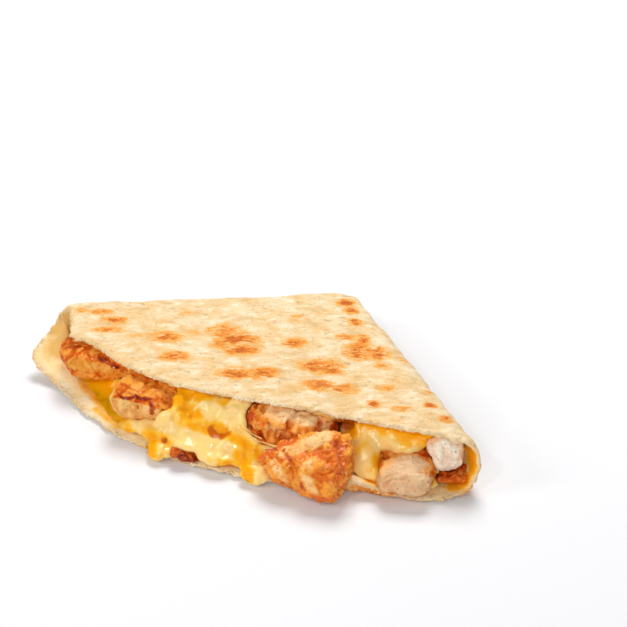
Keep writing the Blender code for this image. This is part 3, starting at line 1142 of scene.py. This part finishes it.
    def _toast(self, points: Numbers, inside: Numbers) -> Numbers:
        """How browned the sheet is: placed patches on the lid, scattered ones elsewhere.

        Args:
            points: the sheet's points.
            inside: 1 on the inner face.

        Returns:
            One number a point.
        """
        lid = smooth(points[:, 2], *self.lid)
        patches = [Spot((x, y, 0), (long, wide, 1), BARS_TURN, strong) for x, y, long, wide, strong in self.toasted]
        placed = marks_over(points * (1, 1, 0), patches)
        scattered = smooth(Grain(31).layers(points, (13, 13, 9)), 0.3, 0.95)
        return np.maximum(placed * lid + scattered * (1 - lid), marks_over(points, self.edge_toasted)) * (1 - inside)

    def _shape(self, mesh: Mesh, inside: Numbers, rim: Numbers, toast: Numbers) -> None:
        """Gives the sheet its waves, blisters and ragged rim.

        Args:
            mesh: the sheet, which is changed.
            inside: 1 on the inner face.
            rim: 1 on the rim.
            toast: how browned it is.
        """
        grain = Grain(5)
        points = points_of(mesh)
        barred = np.stack((points @ ALONG_BARS / 1.7, points @ ACROSS_BARS, points[:, 2]), axis=1)
        relief = self.wave * grain.layers(barred, 10.0) + self.ripple * grain.layers(barred + 70, 4.0)
        relief += self.blister * toast * smooth(grain.waves(barred + 30, 5.0), -0.4, 0.6)
        relief *= 1 - 0.6 * inside
        away = points - CORNER
        away[:, 2] = 0
        away /= np.linalg.norm(away, axis=1)[:, None]
        torn = self.torn * grain.layers(points, 3.6) + self.notched * grain.waves(points + 11, 9.0)
        flaky = self.flaky * grain.layers(points * (1, 1, 2.2), 2.4)
        moved = points + normals_of(mesh) * (relief * (1 - 0.5 * rim) + flaky * rim)[:, None]
        moved += away * (torn * rim)[:, None]
        moved[:, 2] = np.maximum(moved[:, 2], 0.0)
        move_to(mesh, moved)


@dataclass
class Cheese:
    """The melted filling, without its thin left end, which is part of the sheet's piece as its lining."""

    voxel: float = 0.62
    left_end: float = -77.5
    right_end: float = 85.5
    calm_rounds: int = 80
    # How far it swells up to the chicken, how high its folds, swells and ripples are, how far the folds stray.
    hug: float = 0.9
    fold: float = 2.2
    swell: float = 0.7
    ripple: float = 0.24
    strayed: float = 1.6
    # How much a film of it sinks at the thin end, and down to what height.
    sunk: float = 0.7
    film: float = 2.2
    # Lumps and drips that stand out of the filling: middle, radii, turn.
    lumps: tuple[tuple[Triple, Triple, float], ...] = (
        ((-35, -47.5, 4.6), (6, 3.4, 3), -14), ((-27, -48.5, 6), (6, 3.6, 3.6), -6),
        ((-19.5, -45, 9.5), (4.4, 3.6, 5.4), 0), ((-7, -49.8, 7.4), (7, 2.4, 1.8), 4),
        ((-17, -42.5, 12.5), (4.6, 3.4, 4), 0), ((-9, -48.5, 6.6), (8, 3.6, 2.6), 4),
        ((4, -50, 5.2), (7, 3.4, 2.6), 8), ((-16.5, -39, 16.6), (3.8, 3.4, 3.6), 0),
        ((-15.5, -44.6, 9.6), (6.4, 3.4, 3.6), 6), ((-21.5, -47.6, 7.6), (5.6, 3.4, 2.6), -12),
        ((50, -20.5, 14), (7, 3.6, 5), 8), ((53, -24.5, 9.5), (6.4, 5, 4.4), 8), ((57.5, -29.5, 6), (6, 5, 3), 0),
        ((64, -19, 14), (8, 3.6, 5), 10),
    )
    # Where it hangs smooth.
    calm: Marks = (
        Spot((54, -25, 11), (12, 9, 10), 0, 1.3), Spot((67, -19, 17), (9, 4, 5), 0, 1),
        Spot((-27, -48, 7), (8, 5, 5), 0, 0.5), Spot((-18, -45, 9.5), (7, 4, 5), 0, 0.7),
        Spot((-3, -48, 8), (12, 4, 3), 0, 0.5), Spot((87, -13, 10), (6, 10, 11), 0, 1.1),
        Spot((84, -19, 3), (8, 5, 4), 0, 1),
    )
    # Where it is drawn back, and how deep in mm.
    carved: Carving = (
        (Spot((-25, -57, 4), (3.4, 4, 4)), 2.6), (Spot((-19, -58, 4), (4, 3, 4)), 1),
        (Spot((22, -55, 3), (6, 3.4, 4)), 2.1), (Spot((2.4, -43, 12.8), (4.4, 3, 2.4)), 0.9),
        (Spot((27.5, -54, 4), (4, 4, 4)), 2), (Spot((64, -37, 4), (7, 4, 4)), 2.2),
        (Spot((42, -21, 18), (4, 5, 4)), 4.5), (Spot((51, -25, 12), (5, 5, 6)), -1.8),
        (Spot((1, -43.4, 12.6), (2.2, 2, 1.3)), 0.8), (Spot((-17, -49.6, 6), (2.2, 2, 1.6)), 0.7),
        (Spot((8.6, -49.6, 5), (2.8, 2, 1.3)), 0.7), (Spot((20.8, -52.6, 6.4), (2.6, 2.4, 2.4)), 1.5),
        (Spot((19.6, -49.6, 7.4), (3.4, 2, 2)), 0.8), (Spot((84.5, -15.5, 6), (5, 5, 5)), 1.6),
    )
    # Where the orange cheese gathers, where the cream one does, and where it browned; the browned spot in the hole
    # beside the middle lump of chicken is painted shade, darkening the hole.
    orange: Marks = (
        Spot((-35, -50, 4), (3.4, 3, 3), 0, 0.9),
        Streak(((-25, -48.5, 6.5), (-22, -53, 5), (-19, -57, 4)), 2.6, 1.1),
        Spot((-12, -42, 13), (4, 4, 5), 0, 1.1),
        Streak(((-18, -38, 19), (-12, -37, 19.5), (-7, -36, 20)), 2.4, 0.9),
        Streak(((-14, -44.5, 10), (-8, -44, 11.6), (-3, -43.4, 11.8), (4, -42.5, 12)), 2.3, 1),
        Spot((1.4, -43.2, 12.6), (4, 3, 2), 0, 1.3), Spot((-17, -39, 18), (4, 4, 4), 0, 1),
        Spot((-9, -41, 15), (2.6, 3, 2.6), 0, 0.9),
        Streak(((6, -43, 12), (12, -42.5, 10.5), (18, -43, 9)), 2.4, 0.9),
        Streak(((12, -46, 8), (17, -49, 6.5), (20, -54, 4)), 2.4, 1.1),
        Spot((8.4, -49.6, 5.2), (4.4, 2.4, 2), 0, 1.1), Spot((-16.4, -49.6, 6.2), (3.6, 3, 2.4), 0, 0.9),
        Spot((0, -36, 20), (4, 3, 2), 0, 0.6), Streak(((44, -19, 19), (58, -18, 19.5), (74, -15, 19)), 4.2, 1.1),
        Spot((46, -22, 15), (4, 4, 5), 0, 0.9), Spot((59, -26, 9), (4, 4, 4), 0, 0.8),
        Spot((87, -13, 12), (4, 6, 10), 0, 1.3),
        Streak(((50, -20.5, 18), (51.5, -22, 13), (53.5, -25, 9.5), (56, -29.5, 7)), 2, 1),
        Streak(((-70, -30, 5), (-58, -36, 4), (-48, -40, 4), (-42, -42, 4)), 9, 1.3),
        Spot((84, -17, 5), (8, 6, 5), 0, 0.9),
    )
    cream: Marks = (
        Spot((-29, -47, 7), (5, 4, 3), 0, 0.8), Spot((-20, -45, 9), (5, 4, 4), 0, 1.2),
        Spot((-7, -39, 18), (4, 4, 3), 0, 0.8), Spot((3, -37, 17.5), (6, 4, 3), 0, 0.9),
        Streak(((-12, -47.5, 8), (-3, -47.5, 8), (7, -48, 7)), 3.6, 0.9),
        Streak(((55, -21, 17.5), (56.5, -23, 12.5), (57, -26, 9)), 1.8, 0.9),
        Streak(((49, -25.5, 10), (51, -29, 8), (56, -33, 6)), 1.8, 0.7), Spot((-23, -45.5, 8), (4, 4, 3.4), 0, 0.7),
        Spot((25, -51.4, 5.4), (3.4, 3.4, 4), 0, 1.1), Spot((18, -47.6, 7), (3, 2, 2), 0, 0.6),
        Spot((61, -21, 14.5), (5.4, 4, 3.4), 0, 0.9),
    )
    browned_and_hole_shade: Marks = (
        Streak(((-1.8, -43.4, 12.4), (0.6, -44, 11.2), (3.6, -43.6, 11.6), (5.6, -42.6, 13)), 2.1, 1.15),
        Streak(((-1.6, -42.8, 13.4), (1.6, -42, 14.5), (5, -42, 14.2)), 1.3, 1),
        # The spot at (42, -20) is painted shade: brown that darkens the hole carved there beside the middle lump of
        # chicken.
        Spot((4.4, -42.4, 13.2), (2.6, 2.4, 1.6), 0, 1), Spot((42, -20, 17), (4.5, 4, 4), 0, 1.3),
        Spot((78, -20, 6), (4, 4, 3), 0, 0.6), Spot((-11, -42.5, 11.6), (1.8, 2, 1.3), 0, 0.6),
        Spot((84, -18, 4), (8, 5, 3), 0, 0.45), Spot((-17.2, -49.8, 5.7), (2.8, 2.6, 2), 0, 0.95),
        Spot((-11, -42, 13.4), (2.4, 3, 1.8), 0, 0.6),
        Streak(((4.4, -49.6, 4.6), (8, -50, 4), (12, -49.5, 4.4)), 1.4, 0.75),
        Streak(((62, -25, 14.5), (69, -22, 15), (75, -19.5, 15)), 1.8, 0.7),
    )

    def build(self) -> None:
        """Makes the filling's piece."""
        body = welded("cheese")
        cut(body, THIN_END, THIN_WAY)
        cut(body, (self.left_end, 0.0, 0.0), (-1.0, 0.0, 0.0))
        cut(body, (self.right_end, 0.0, 0.0), (1.0, 0.0, 0.0))
        for lump in self.lumps:
            blob_into(body, *lump)
        mesh = refined(to_mesh(body, "cheese"), self.voxel, 12, 0.6)
        ease(mesh, np.minimum(marks_over(points_of(mesh), self.calm), 1.0), self.calm_rounds)
        carve(mesh, self.carved)
        self._melt(mesh)
        piece(mesh, "cheese", MELTED, ["cheese"])

    @staticmethod
    def _gap_to_chicken(mesh: Mesh) -> Numbers:
        """How far the filling is from the nearest lump of chicken.

        Args:
            mesh: the filling.

        Returns:
            One distance a point, in mm.
        """
        places, faces = [], []
        for name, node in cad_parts.items():
            if name.startswith("chicken"):
                faces += [[index + len(places) for index in face.vertices] for face in node.data.polygons]
                places += [vertex.co for vertex in node.data.vertices]
        return np.array(nearest(mesh, BVHTree.FromPolygons(places, faces), GAP)) / MM

    def _melt(self, mesh: Mesh) -> None:
        """Gives the filling its soft lumps and keeps what its finish reads.

        Args:
            mesh: the filling, which is changed.
        """
        grain = Grain(12)
        points = points_of(mesh)
        bent = points + grain.stray(points, self.strayed, 7.0)
        down = np.array((0.0, -0.7, -0.7))
        drawn = bent - 0.45 * (bent @ down)[:, None] * down
        folds = np.abs(grain.waves(drawn, 7.0)) + 0.32 * np.abs(grain.waves(drawn + 30, 3.4)) - 0.34
        relief = self.fold * folds + self.swell * grain.layers(points, 12.0) + self.ripple * grain.layers(bent, 2.8)
        lively = 1 - 0.8 * np.minimum(marks_over(points, self.calm), 1.0)
        relief *= lively
        low = 1 - smooth(points[:, 2], 5.0, 9.0)
        close = self.hug * lively * (1 - smooth(self._gap_to_chicken(mesh), 0.5, 3.0))
        moved = points + normals_of(mesh) * (relief * (1 - 0.4 * low) - 0.5 * low + close)[:, None]
        thin = smooth(past_thin_end(points), -9.0, -1.0) * smooth(-points[:, 0], 32.0, 40.0)
        thin *= smooth(points[:, 0], -76.0, -66.0)
        moved[:, 2] -= self.sunk * thin * np.maximum(moved[:, 2] - self.film, 0.0)
        moved[:, 2] = np.maximum(moved[:, 2], LOWEST)
        move_to(mesh, moved)
        orange = marks_over(points, self.orange) - marks_over(points, self.cream)
        keep(mesh, crest=np.clip(2.2 * folds, -1, 1), orange=orange, scorch=marks_over(points, self.browned_and_hole_shade))


@dataclass
class Chunk:
    """One lump of grilled chicken."""

    node: str
    finish: ChickenFinish
    slot: Slot = Slot.CHICKEN
    voxel: float = 0.38
    seed: int = 1
    # Which way its fibres run, and how deep in mm its cracks are, and how high its crust and its lumps, knots,
    # threads and crumbs of glaze.
    fibre: Triple = (1.0, 0.0, 0.2)
    cracks: float = 0.8
    crust: float = 0.35
    lump: float = 0.9
    knot: float = 0.45
    thread: float = 0.17
    crumb: float = 1.25
    # Where it is carved in (or built out, if less than 0), and how deep in mm.
    carved: Carving = ()
    # Directions that its pale cut faces look in, each with how far round it the cut reaches (-1 to 1).
    cuts: tuple[tuple[Triple, float], ...] = ()
    pale: Marks = ()
    char: Marks = ()
    # Where the glaze has set in crumbs.
    glazed: Marks = ()

    def build(self) -> Mesh:
        """Makes the lump's piece.

        Returns:
            Its mesh, for what is scattered on it.
        """
        mesh = refined(to_mesh(welded(self.node), self.node), self.voxel, 6, 0.6)
        carve(mesh, self.carved)
        grain = Grain(self.seed)
        points, normals = points_of(mesh), normals_of(mesh)
        run = np.array(self.fibre) / np.linalg.norm(self.fibre)
        squeezed = points - 0.6 * (points @ run)[:, None] * run
        strayed = points + grain.stray(points, 1.3, 4.0, 9)
        broad = grain.layers(squeezed, 7.5)
        knots = grain.layers(points + 60, 3.8)
        seam = grain.cells(squeezed + grain.stray(points, 2.2, 6.0), 7.5)[1]
        crack = (1 - smooth(seam, 0.0, 0.2)) * smooth(grain.waves(points + 35, 11.0), -0.25, 0.35)
        crisp = 0.4 - np.abs(grain.layers(points + 21, 2.6, 3))
        glazed = marks_over(strayed, self.glazed)
        crumbs = 0.5 - grain.cells(strayed, 1.9)[0]
        pale = marks_over(strayed, self.pale)
        for way, reach in self.cuts:
            facing = normals @ (np.array(way) / np.linalg.norm(way))
            pale = np.maximum(pale, smooth(facing, reach, reach + 0.3))
        rough = self.crust * (crisp + 0.6 * grain.layers(points, 1.3)) + self.crumb * glazed * crumbs
        relief = self.lump * broad + self.knot * knots - self.cracks * crack + self.thread * grain.layers(squeezed, 1.3)
        relief += rough * (1 - 0.6 * pale)
        moved = points + normals * relief[:, None]
        moved[:, 2] = np.maximum(moved[:, 2], LOWEST)
        move_to(mesh, moved)
        # Crest is high on ridges and glaze crumbs and low in cracks; the finish paints the low parts darker, as painted
        # shade.
        crest = 0.6 * broad + 0.5 * knots + 0.8 * crisp + 1.6 * glazed * crumbs + 0.05 - 1.1 * crack
        keep(mesh, crest=np.clip(crest, -1, 1), pale=pale, char=marks_over(strayed, self.char))
        piece(mesh, self.node, self.finish, [self.node])
        return mesh


CHUNKS: tuple[Chunk, ...] = (
    Chunk(
        "chicken_back_left", GOLDEN, seed=3, fibre=(0.2, -0.3, 1), cracks=0.3, lump=0.7,
        pale=(
            Streak(((-69, -37, 14), (-63, -36, 15.5), (-57, -34.5, 14), (-52, -32, 12)), 3.8, 0.8),
            Spot((-55, -33.5, 14.5), (4, 3, 3), 20, 0.5),
        ),
        char=(
            Streak(((-75, -33, 17), (-69, -29, 19.4), (-62, -29, 20)), 2, 0.55),
            Streak(((-60, -31.5, 18.5), (-56, -32, 17.5), (-52, -31.5, 15.5)), 1.5, 1),
            Spot((-71, -38, 10.5), (3, 3, 2), 0, 0.75), Spot((-50, -30, 14), (3, 3, 3), 0, 0.6),
        ),
        carved=(
            (Streak(((-79, -36, 10), (-70, -39, 9)), 3.5), 1.5),
            (Streak(((-58, -35, 12), (-54, -34, 17)), 1.5), 1.2),
            (Streak(((-66, -33, 19), (-60, -33.5, 18.5)), 1.4), 1),
        ),
    ),
    Chunk(
        "chicken_left", SEARED, seed=8, fibre=(0.1, 0.2, 1), cracks=0.4, lump=0.6,
        cuts=(((-0.1, -1, -0.1), 0.4), ((-1, -0.35, 0), 0.5)),
        pale=(Spot((-35, -43, 19), (8, 4, 3), 20, 0.5),),
        char=(
            Streak(
                ((-42, -45.5, 16.4), (-38.7, -47.5, 17), (-35.4, -48, 17), (-33, -46, 17.6), (-29.5, -46.4, 17.4)),
                1, 1.05,
            ),
            Streak(((-29.5, -46.4, 17.4), (-26.7, -45, 17.7), (-24, -46.8, 16.6), (-25, -48, 12.5)), 1.5, 0.95),
            Streak(((-23.5, -45.5, 17), (-20, -42, 17.6)), 2.2, 0.4),
        ),
        glazed=(Streak(((-40, -46.5, 17), (-33, -46.5, 17.6), (-24, -45.5, 17.4)), 2.2, 0.6),),
        carved=(
            (Streak(((-39.5, -50, 15), (-39.5, -50, 8)), 1.1), 1),
            (Streak(((-34.5, -50, 15.5), (-34, -50, 8)), 1.1), 1.7),
            (Streak(((-29.5, -49, 15.5), (-29, -49, 8)), 1.3), 1.8),
            (Streak(((-42, -45, 18), (-30, -45, 18.5)), 1.2), -0.7), (Spot((-16, -43, 14), (6, 6, 8)), 7),
        ),
    ),
    Chunk(
        "chicken_middle", TENDER, seed=5, fibre=(0.1, 0.2, 1), cracks=1.2, lump=1, crust=0.45,
        pale=(
            Spot((21, -31, 20), (7, 5, 3.4), 10, 1.1), Spot((29, -27, 19.5), (8, 6, 4), 20, 1.1),
            # The spot at (24.5, -37) and the one below it lighten the lower front, which lies in shade in the crevice
            # by the lump over the rim: painted light.
            Spot((37, -26, 17), (5, 5, 3), 20, 0.7), Spot((24.5, -37, 16.3), (5, 3, 3), 20, 0.5),
            Spot((20.5, -38.6, 17.4), (3, 3, 2.6), 0, 0.55),
        ),
        char=(
            Streak(((5, -30, 16), (8, -35.5, 16.5), (13, -38.8, 15.5), (19, -39.8, 12.5)), 1.6, 0.9),
            Spot((10.5, -35.6, 18), (4, 4, 3.6), 0, 0.75), Streak(((22, -40, 12), (31, -38, 11)), 1.4, 0.4),
            Spot((41, -24, 15), (3, 5, 4), 0, 1.1),
        ),
        carved=(
            (Streak(((14, -30, 21), (15, -36, 19), (18, -40, 14)), 1.3), 2),
            (Streak(((25, -24, 21), (26, -33, 18.5), (26, -38, 15)), 1.1), 1.6),
            (Streak(((34, -22, 19), (35, -30, 16)), 1.4), 1.5),
        ),
    ),
    Chunk(
        "chicken_over_rim", BASTED, voxel=0.31, seed=12, fibre=(0.5, -0.3, 1), cracks=0.6, crust=0.6, lump=0.7,
        pale=(
            Streak(((31, -44.4, 15.8), (36, -40.6, 18), (41.5, -36, 20)), 3.6, 1.1),
            Streak(((29, -49.5, 13.5), (32, -50.6, 11), (35, -51, 6)), 1.9, 0.95),
            Streak(((41.6, -46.2, 15.2), (43, -49.4, 10.6), (45.4, -49.6, 6.6)), 2.4, 0.95),
        ),
        char=(
            Streak(((22, -45, 12), (26, -44.4, 15), (31, -45.2, 16)), 1.1, 1.25),
            Streak(((23.5, -47.5, 12), (27, -50.2, 9), (31, -51.4, 5)), 0.8, 0.8),
            Streak(((33, -46.5, 15.6), (36.5, -49, 13), (39, -50.2, 9), (42, -50, 5)), 1.5, 1),
            Streak(((40, -42.5, 18.4), (45, -41.5, 18.4), (50, -44, 16.4)), 2.4, 0.68),
            Streak(((47, -35.6, 20.4), (49.5, -38, 19.4), (52, -41, 17.4), (53, -44.6, 14.4)), 3.2, 0.85),
            Spot((49.4, -42.5, 17.2), (3, 3, 3), 0, 0.7), Spot((36, -49, 8), (3, 3, 4), 0, 0.4),
            Spot((47, -47, 14.4), (3, 2.6, 2.6), 0, 0.55),
            Streak(((44.6, -50, 4), (49, -49, 3), (53, -46, 5)), 2.4, 0.6),
        ),
        glazed=(
            Spot((47, -40, 18.6), (7, 6, 4), 0, 0.9), Spot((52, -42, 14), (5, 6, 5), 0, 0.7),
            Spot((30, -44, 16), (5, 3, 3), 0, 0.5), Spot((50, -48, 6), (5, 4, 5), 0, 0.5),
        ),
        carved=(
            (Spot((56, -44, 6), (4, 5.4, 5)), 3.6), (Spot((24, -51.5, 7), (4, 4, 5)), 2.6),
            (Spot((35, -51.5, 1.5), (5, 4, 4)), 2.6),
            (Streak(((33, -47, 17), (37, -50, 13), (39, -51.5, 7)), 1.5), 2.4),
            (Streak(((31, -44.4, 15.8), (36, -40, 18), (41.5, -35.5, 20)), 2), -0.7),
            (Streak(((38, -44, 17.6), (43, -39.6, 19.4)), 1.2), 1.2),
            (Streak(((41.6, -47, 15.6), (43, -51, 8)), 1.6), -1),
            (Streak(((48, -47, 14), (49, -49.4, 8)), 1.3), 1.3), (Spot((47, -49.5, 3), (4, 3, 3)), -1.4),
        ),
    ),
    Chunk(
        "chicken_right", SAUCY, seed=21, fibre=(0.2, -0.4, 1), cracks=0.7, crust=0.3, lump=0.7,
        pale=(Spot((73, -31.5, 8.5), (12, 8, 6), 25, 1.2), Spot((72, -27, 13.5), (9, 6, 4), 25, 1.1)),
        char=(
            Streak(((60, -29, 13), (64, -23.5, 14.5), (70, -20.5, 15), (76, -18, 14.5)), 1.5, 0.65),
            Spot((60, -33, 9), (2.4, 3, 4), 0, 0.35),
        ),
        glazed=(Streak(((60, -29, 13), (64, -23.5, 14.5), (70, -20.5, 15)), 2.4, 0.7),),
        carved=(
            (Spot((59, -34, 14), (5, 6, 5)), 2.6), (Spot((63, -24, 16), (5, 4, 3)), 2),
            (Spot((59.6, -25.6, 14.6), (3.6, 4.6, 4)), 2.6), (Spot((80, -25, 14), (4, 5, 4)), 1.4),
        ),
    ),
    Chunk(
        "chicken_by_fold", LIT_WHITE, seed=17, fibre=(0.1, -0.2, 1), cracks=0.4, crust=0.25, lump=0.5,
        pale=(Spot((82, -17, 14), (10, 8, 9), 30, 1.3),),
        char=(Streak(((75, -16, 19.6), (79, -14, 20.6), (84, -11, 19.6)), 1, 0.3),),
        carved=((Streak(((80.5, -18, 20), (82.5, -20, 9)), 0.9), 1.5), (Spot((73, -21, 9), (3, 3, 4)), 1.6)),
    ),
    Chunk(
        "chicken_under_fold", STICKY, Slot.CHARRED, seed=6, voxel=0.28, lump=1.5, crust=0.6, cracks=1,
        glazed=(Spot((83, -15, 6), (8, 6, 4), 0, 0.5),),
        pale=(Spot((86, -15, 7), (3, 4, 3), 0, 0.5),),
        carved=(
            (Spot((78, -19, 8), (3.4, 3, 3)), 2.2), (Spot((83, -18, 9), (1.6, 4, 4)), 2.2),
            (Spot((88, -14, 8), (3, 4, 3)), 2), (Spot((85, -19, 2.5), (3, 3, 2)), 1.6),
        ),
    ),
    Chunk(
        "chicken_scrap", CHARRED, Slot.CHARRED, seed=9, voxel=0.28, lump=0.6, crust=0.5,
        char=(Spot((-6, -53, 5), (6, 4, 3), 0, 0.4),),
        glazed=(Spot((-8, -52, 5), (8, 4, 3), 0, 0.6),),
        carved=(
            (Spot((-1.5, -51, 7.4), (6, 5, 3.4)), 3.2), (Spot((-13, -51, 6), (2, 4, 2)), 1),
            (Spot((-6.8, -54, 5.4), (3.6, 3, 3)), -1), (Spot((-1.6, -52.6, 4), (2, 2, 3)), 0.8),
        ),
    ),
)


@dataclass
class Chicken:
    """All the chicken in the wedge."""

    chunks: tuple[Chunk, ...] = CHUNKS

    def build(self) -> list[Mesh]:
        """Makes every lump, and returns their meshes."""
        return [chunk.build() for chunk in self.chunks]


@dataclass
class Crumbs:
    """Small flakes of dough that stand up along the sheet's rims, where the sheet was cut."""

    seed: int = 15
    count: int = 480
    smallest: float = 0.24
    largest: float = 0.68
    height: float = 0.6

    def build(self, sheet: Mesh) -> None:
        """Makes the flakes as one piece.

        Args:
            sheet: the tortilla's mesh, which keeps where its rim is.
        """
        draw = np.random.default_rng(self.seed)
        rim, grease = sheet.attributes["rim"].data, sheet.attributes["grease"].data
        edge = [
            face
            for face in sheet.polygons
            if rim[face.vertices[0]].value > 0.85 and grease[face.vertices[0]].value < 0.1 and face.normal.z > -0.3
        ]
        shape = bmesh.new()
        for index in draw.choice(len(edge), size=self.count, replace=False):
            face = edge[index]
            grain_into(shape, face.center, face.normal, draw.uniform(self.smallest, self.largest), self.height, draw)
        mesh = to_mesh(shape, "rim_crumbs")
        keep(mesh, inside=0, toast=0, grease=0, shade=0, rim=1)
        piece(mesh, "rim_crumbs", DOUGH)


@dataclass
class Strands:
    """Threads of stretched cheese."""

    # Each thread: the points it hangs between in mm, its radius in the middle and at its ends.
    threads: tuple[tuple[tuple[Triple, ...], float, float], ...] = (
        (((8, -40, 15), (12, -40.5, 14.2), (17, -41.6, 13.4), (21, -41.8, 13.6), (26, -42, 14)), 0.15, 0.45),
        (((9, -39, 16.5), (12, -40, 15.6), (15, -41, 15), (19, -41.2, 14.6)), 0.12, 0.3),
    )

    def build(self) -> None:
        """Makes the threads as one piece."""
        shape = bmesh.new()
        for knots, thin, thick in self.threads:
            path = curve_through(knots)
            shares = np.linspace(-1, 1, len(path))
            tube_into(shape, path, [thin + (thick - thin) * share**6 for share in shares])
        mesh = to_mesh(shape, "cheese_strands")
        keep(mesh, crest=0, orange=-0.3, scorch=0)
        piece(mesh, "cheese_strands", MELTED)


@dataclass
class Scatter:
    """Small things that lie on the chicken: ground pepper and beads of juice."""

    seed: int = 4
    flecks: int = 260
    beads: int = 230
    # Their least and greatest radius in mm, and their height as a share of their width.
    fleck: tuple[float, float] = (0.1, 0.26)
    bead: tuple[float, float] = (0.18, 0.5)
    height: tuple[float, float] = (0.35, 0.6)
    # How many lumps, from the left, have beads on them.
    beaded: int = 4

    def build(self, meshes: list[Mesh]) -> None:
        """Makes the pepper and the beads.

        Args:
            meshes: the chicken that they lie on.
        """
        draw = np.random.default_rng(self.seed)
        flecks = self._scattered("pepper", meshes, self.flecks, self.fleck, draw)
        piece(flecks, "pepper", PEPPER)
        beads = self._scattered("juice_beads", meshes[: self.beaded], self.beads, self.bead, draw)
        piece(beads, "juice_beads", GLAZE)

    def _scattered(self, name: str, meshes: list[Mesh], count: int, radii: tuple[float, float], draw: Draw) -> Mesh:
        """Grains on the upper and outer faces of several meshes.

        Args:
            name: the new mesh's name.
            meshes: the meshes to land on.
            count: how many grains.
            radii: their least and greatest radius, in mm.
            draw: the source of random numbers.

        Returns:
            The grains as one mesh.
        """
        found = [face for mesh in meshes for face in mesh.polygons if face.normal.z > 0.1 or face.normal.y < -0.3]
        shape = bmesh.new()
        for index in draw.choice(len(found), size=count, replace=False):
            face = found[index]
            grain_into(shape, face.center, face.normal, draw.uniform(*radii), draw.uniform(*self.height), draw)
        return to_mesh(shape, name)


# ---- Studio ----


@dataclass
class Studio:
    """The floor, the soft lights and the camera."""

    azimuth: float = 30.0
    elevation: float = 33.0
    lens: float = 100.0
    distance: float = 0.7257
    target: Triple = (-17.4, 59.48, 0)
    floor_size: float = 8.0
    floor_drop: float = 0.05
    sky: float = 0.27
    # Each lamp: where it hangs and how wide it is, in metres, and its power in watts.
    lamps: tuple[tuple[str, Triple, float, float], ...] = (
        ("lamp_over", (-0.15, 0.44, 0.78), 0.42, 6.8),
        ("lamp_front_left", (-0.60, -0.55, 0.50), 0.3, 1.8),
        ("lamp_front_right", (0.38, -0.86, 0.42), 0.42, 3.3),
        ("lamp_glint", (-0.05, -0.62, 0.72), 0.06, 0.95),
    )

    def build(self) -> None:
        """Makes everything round the wedge."""
        self._floor()
        self._sky()
        for name, place, size, power in self.lamps:
            self._lamp(name, place, size, power)
        self._camera()
        bpy.context.scene.view_settings.view_transform = "Standard"

    def _floor(self) -> None:
        """Makes the floor just under the wedge."""
        shape = bmesh.new()
        bmesh.ops.create_grid(shape, x_segments=4, y_segments=4, size=self.floor_size / 2)
        floor = linked("floor", to_mesh(shape, "floor"))
        floor.location.z = -self.floor_drop * MM
        FLOOR.dress(floor)

    def _sky(self) -> None:
        """Lights the room evenly."""
        world = bpy.data.worlds.new("studio")
        bpy.context.scene.world = world
        world.use_nodes = True
        shell = world.node_tree.nodes["Background"]
        shell.inputs["Color"].default_value = (1.0, 1.0, 1.0, 1.0)
        shell.inputs["Strength"].default_value = self.sky

    def _lamp(self, name: str, place: Triple, size: float, power: float) -> None:
        """Adds a soft square lamp that looks at the wedge.

        Args:
            name: the lamp's name.
            place: where it hangs, in metres.
            size: how wide it is, in metres.
            power: how strong it is, in watts.
        """
        lamp = bpy.data.lights.new(name, "AREA")
        lamp.shape = "SQUARE"
        lamp.size = size
        lamp.energy = power
        made = linked(name, lamp)
        made.location = place
        made.rotation_euler = (-Vector(place)).to_track_quat("-Z", "Y").to_euler()

    def _camera(self) -> None:
        """Puts the camera in front, above and to the right."""
        side, rise = math.radians(self.azimuth), math.radians(self.elevation)
        back = Vector((math.sin(side) * math.cos(rise), -math.cos(side) * math.cos(rise), math.sin(rise)))
        eye = bpy.data.cameras.new("camera")
        eye.lens = self.lens
        eye.sensor_width = 36.0
        eye.clip_start = 0.01
        made = linked("camera", eye)
        made.location = Vector(self.target) * MM + back * self.distance
        made.rotation_euler = back.to_track_quat("Z", "Y").to_euler()
        bpy.context.scene.camera = made


def main() -> None:
    """Builds the studio and every piece."""
    logging.basicConfig(level=logging.INFO, format="%(message)s")
    Studio().build()
    sheet = Tortilla().build()
    Crumbs().build(sheet)
    Cheese().build()
    meshes = Chicken().build()
    Strands().build()
    Scatter().build(meshes)


if __name__ == "__main__":
    main()
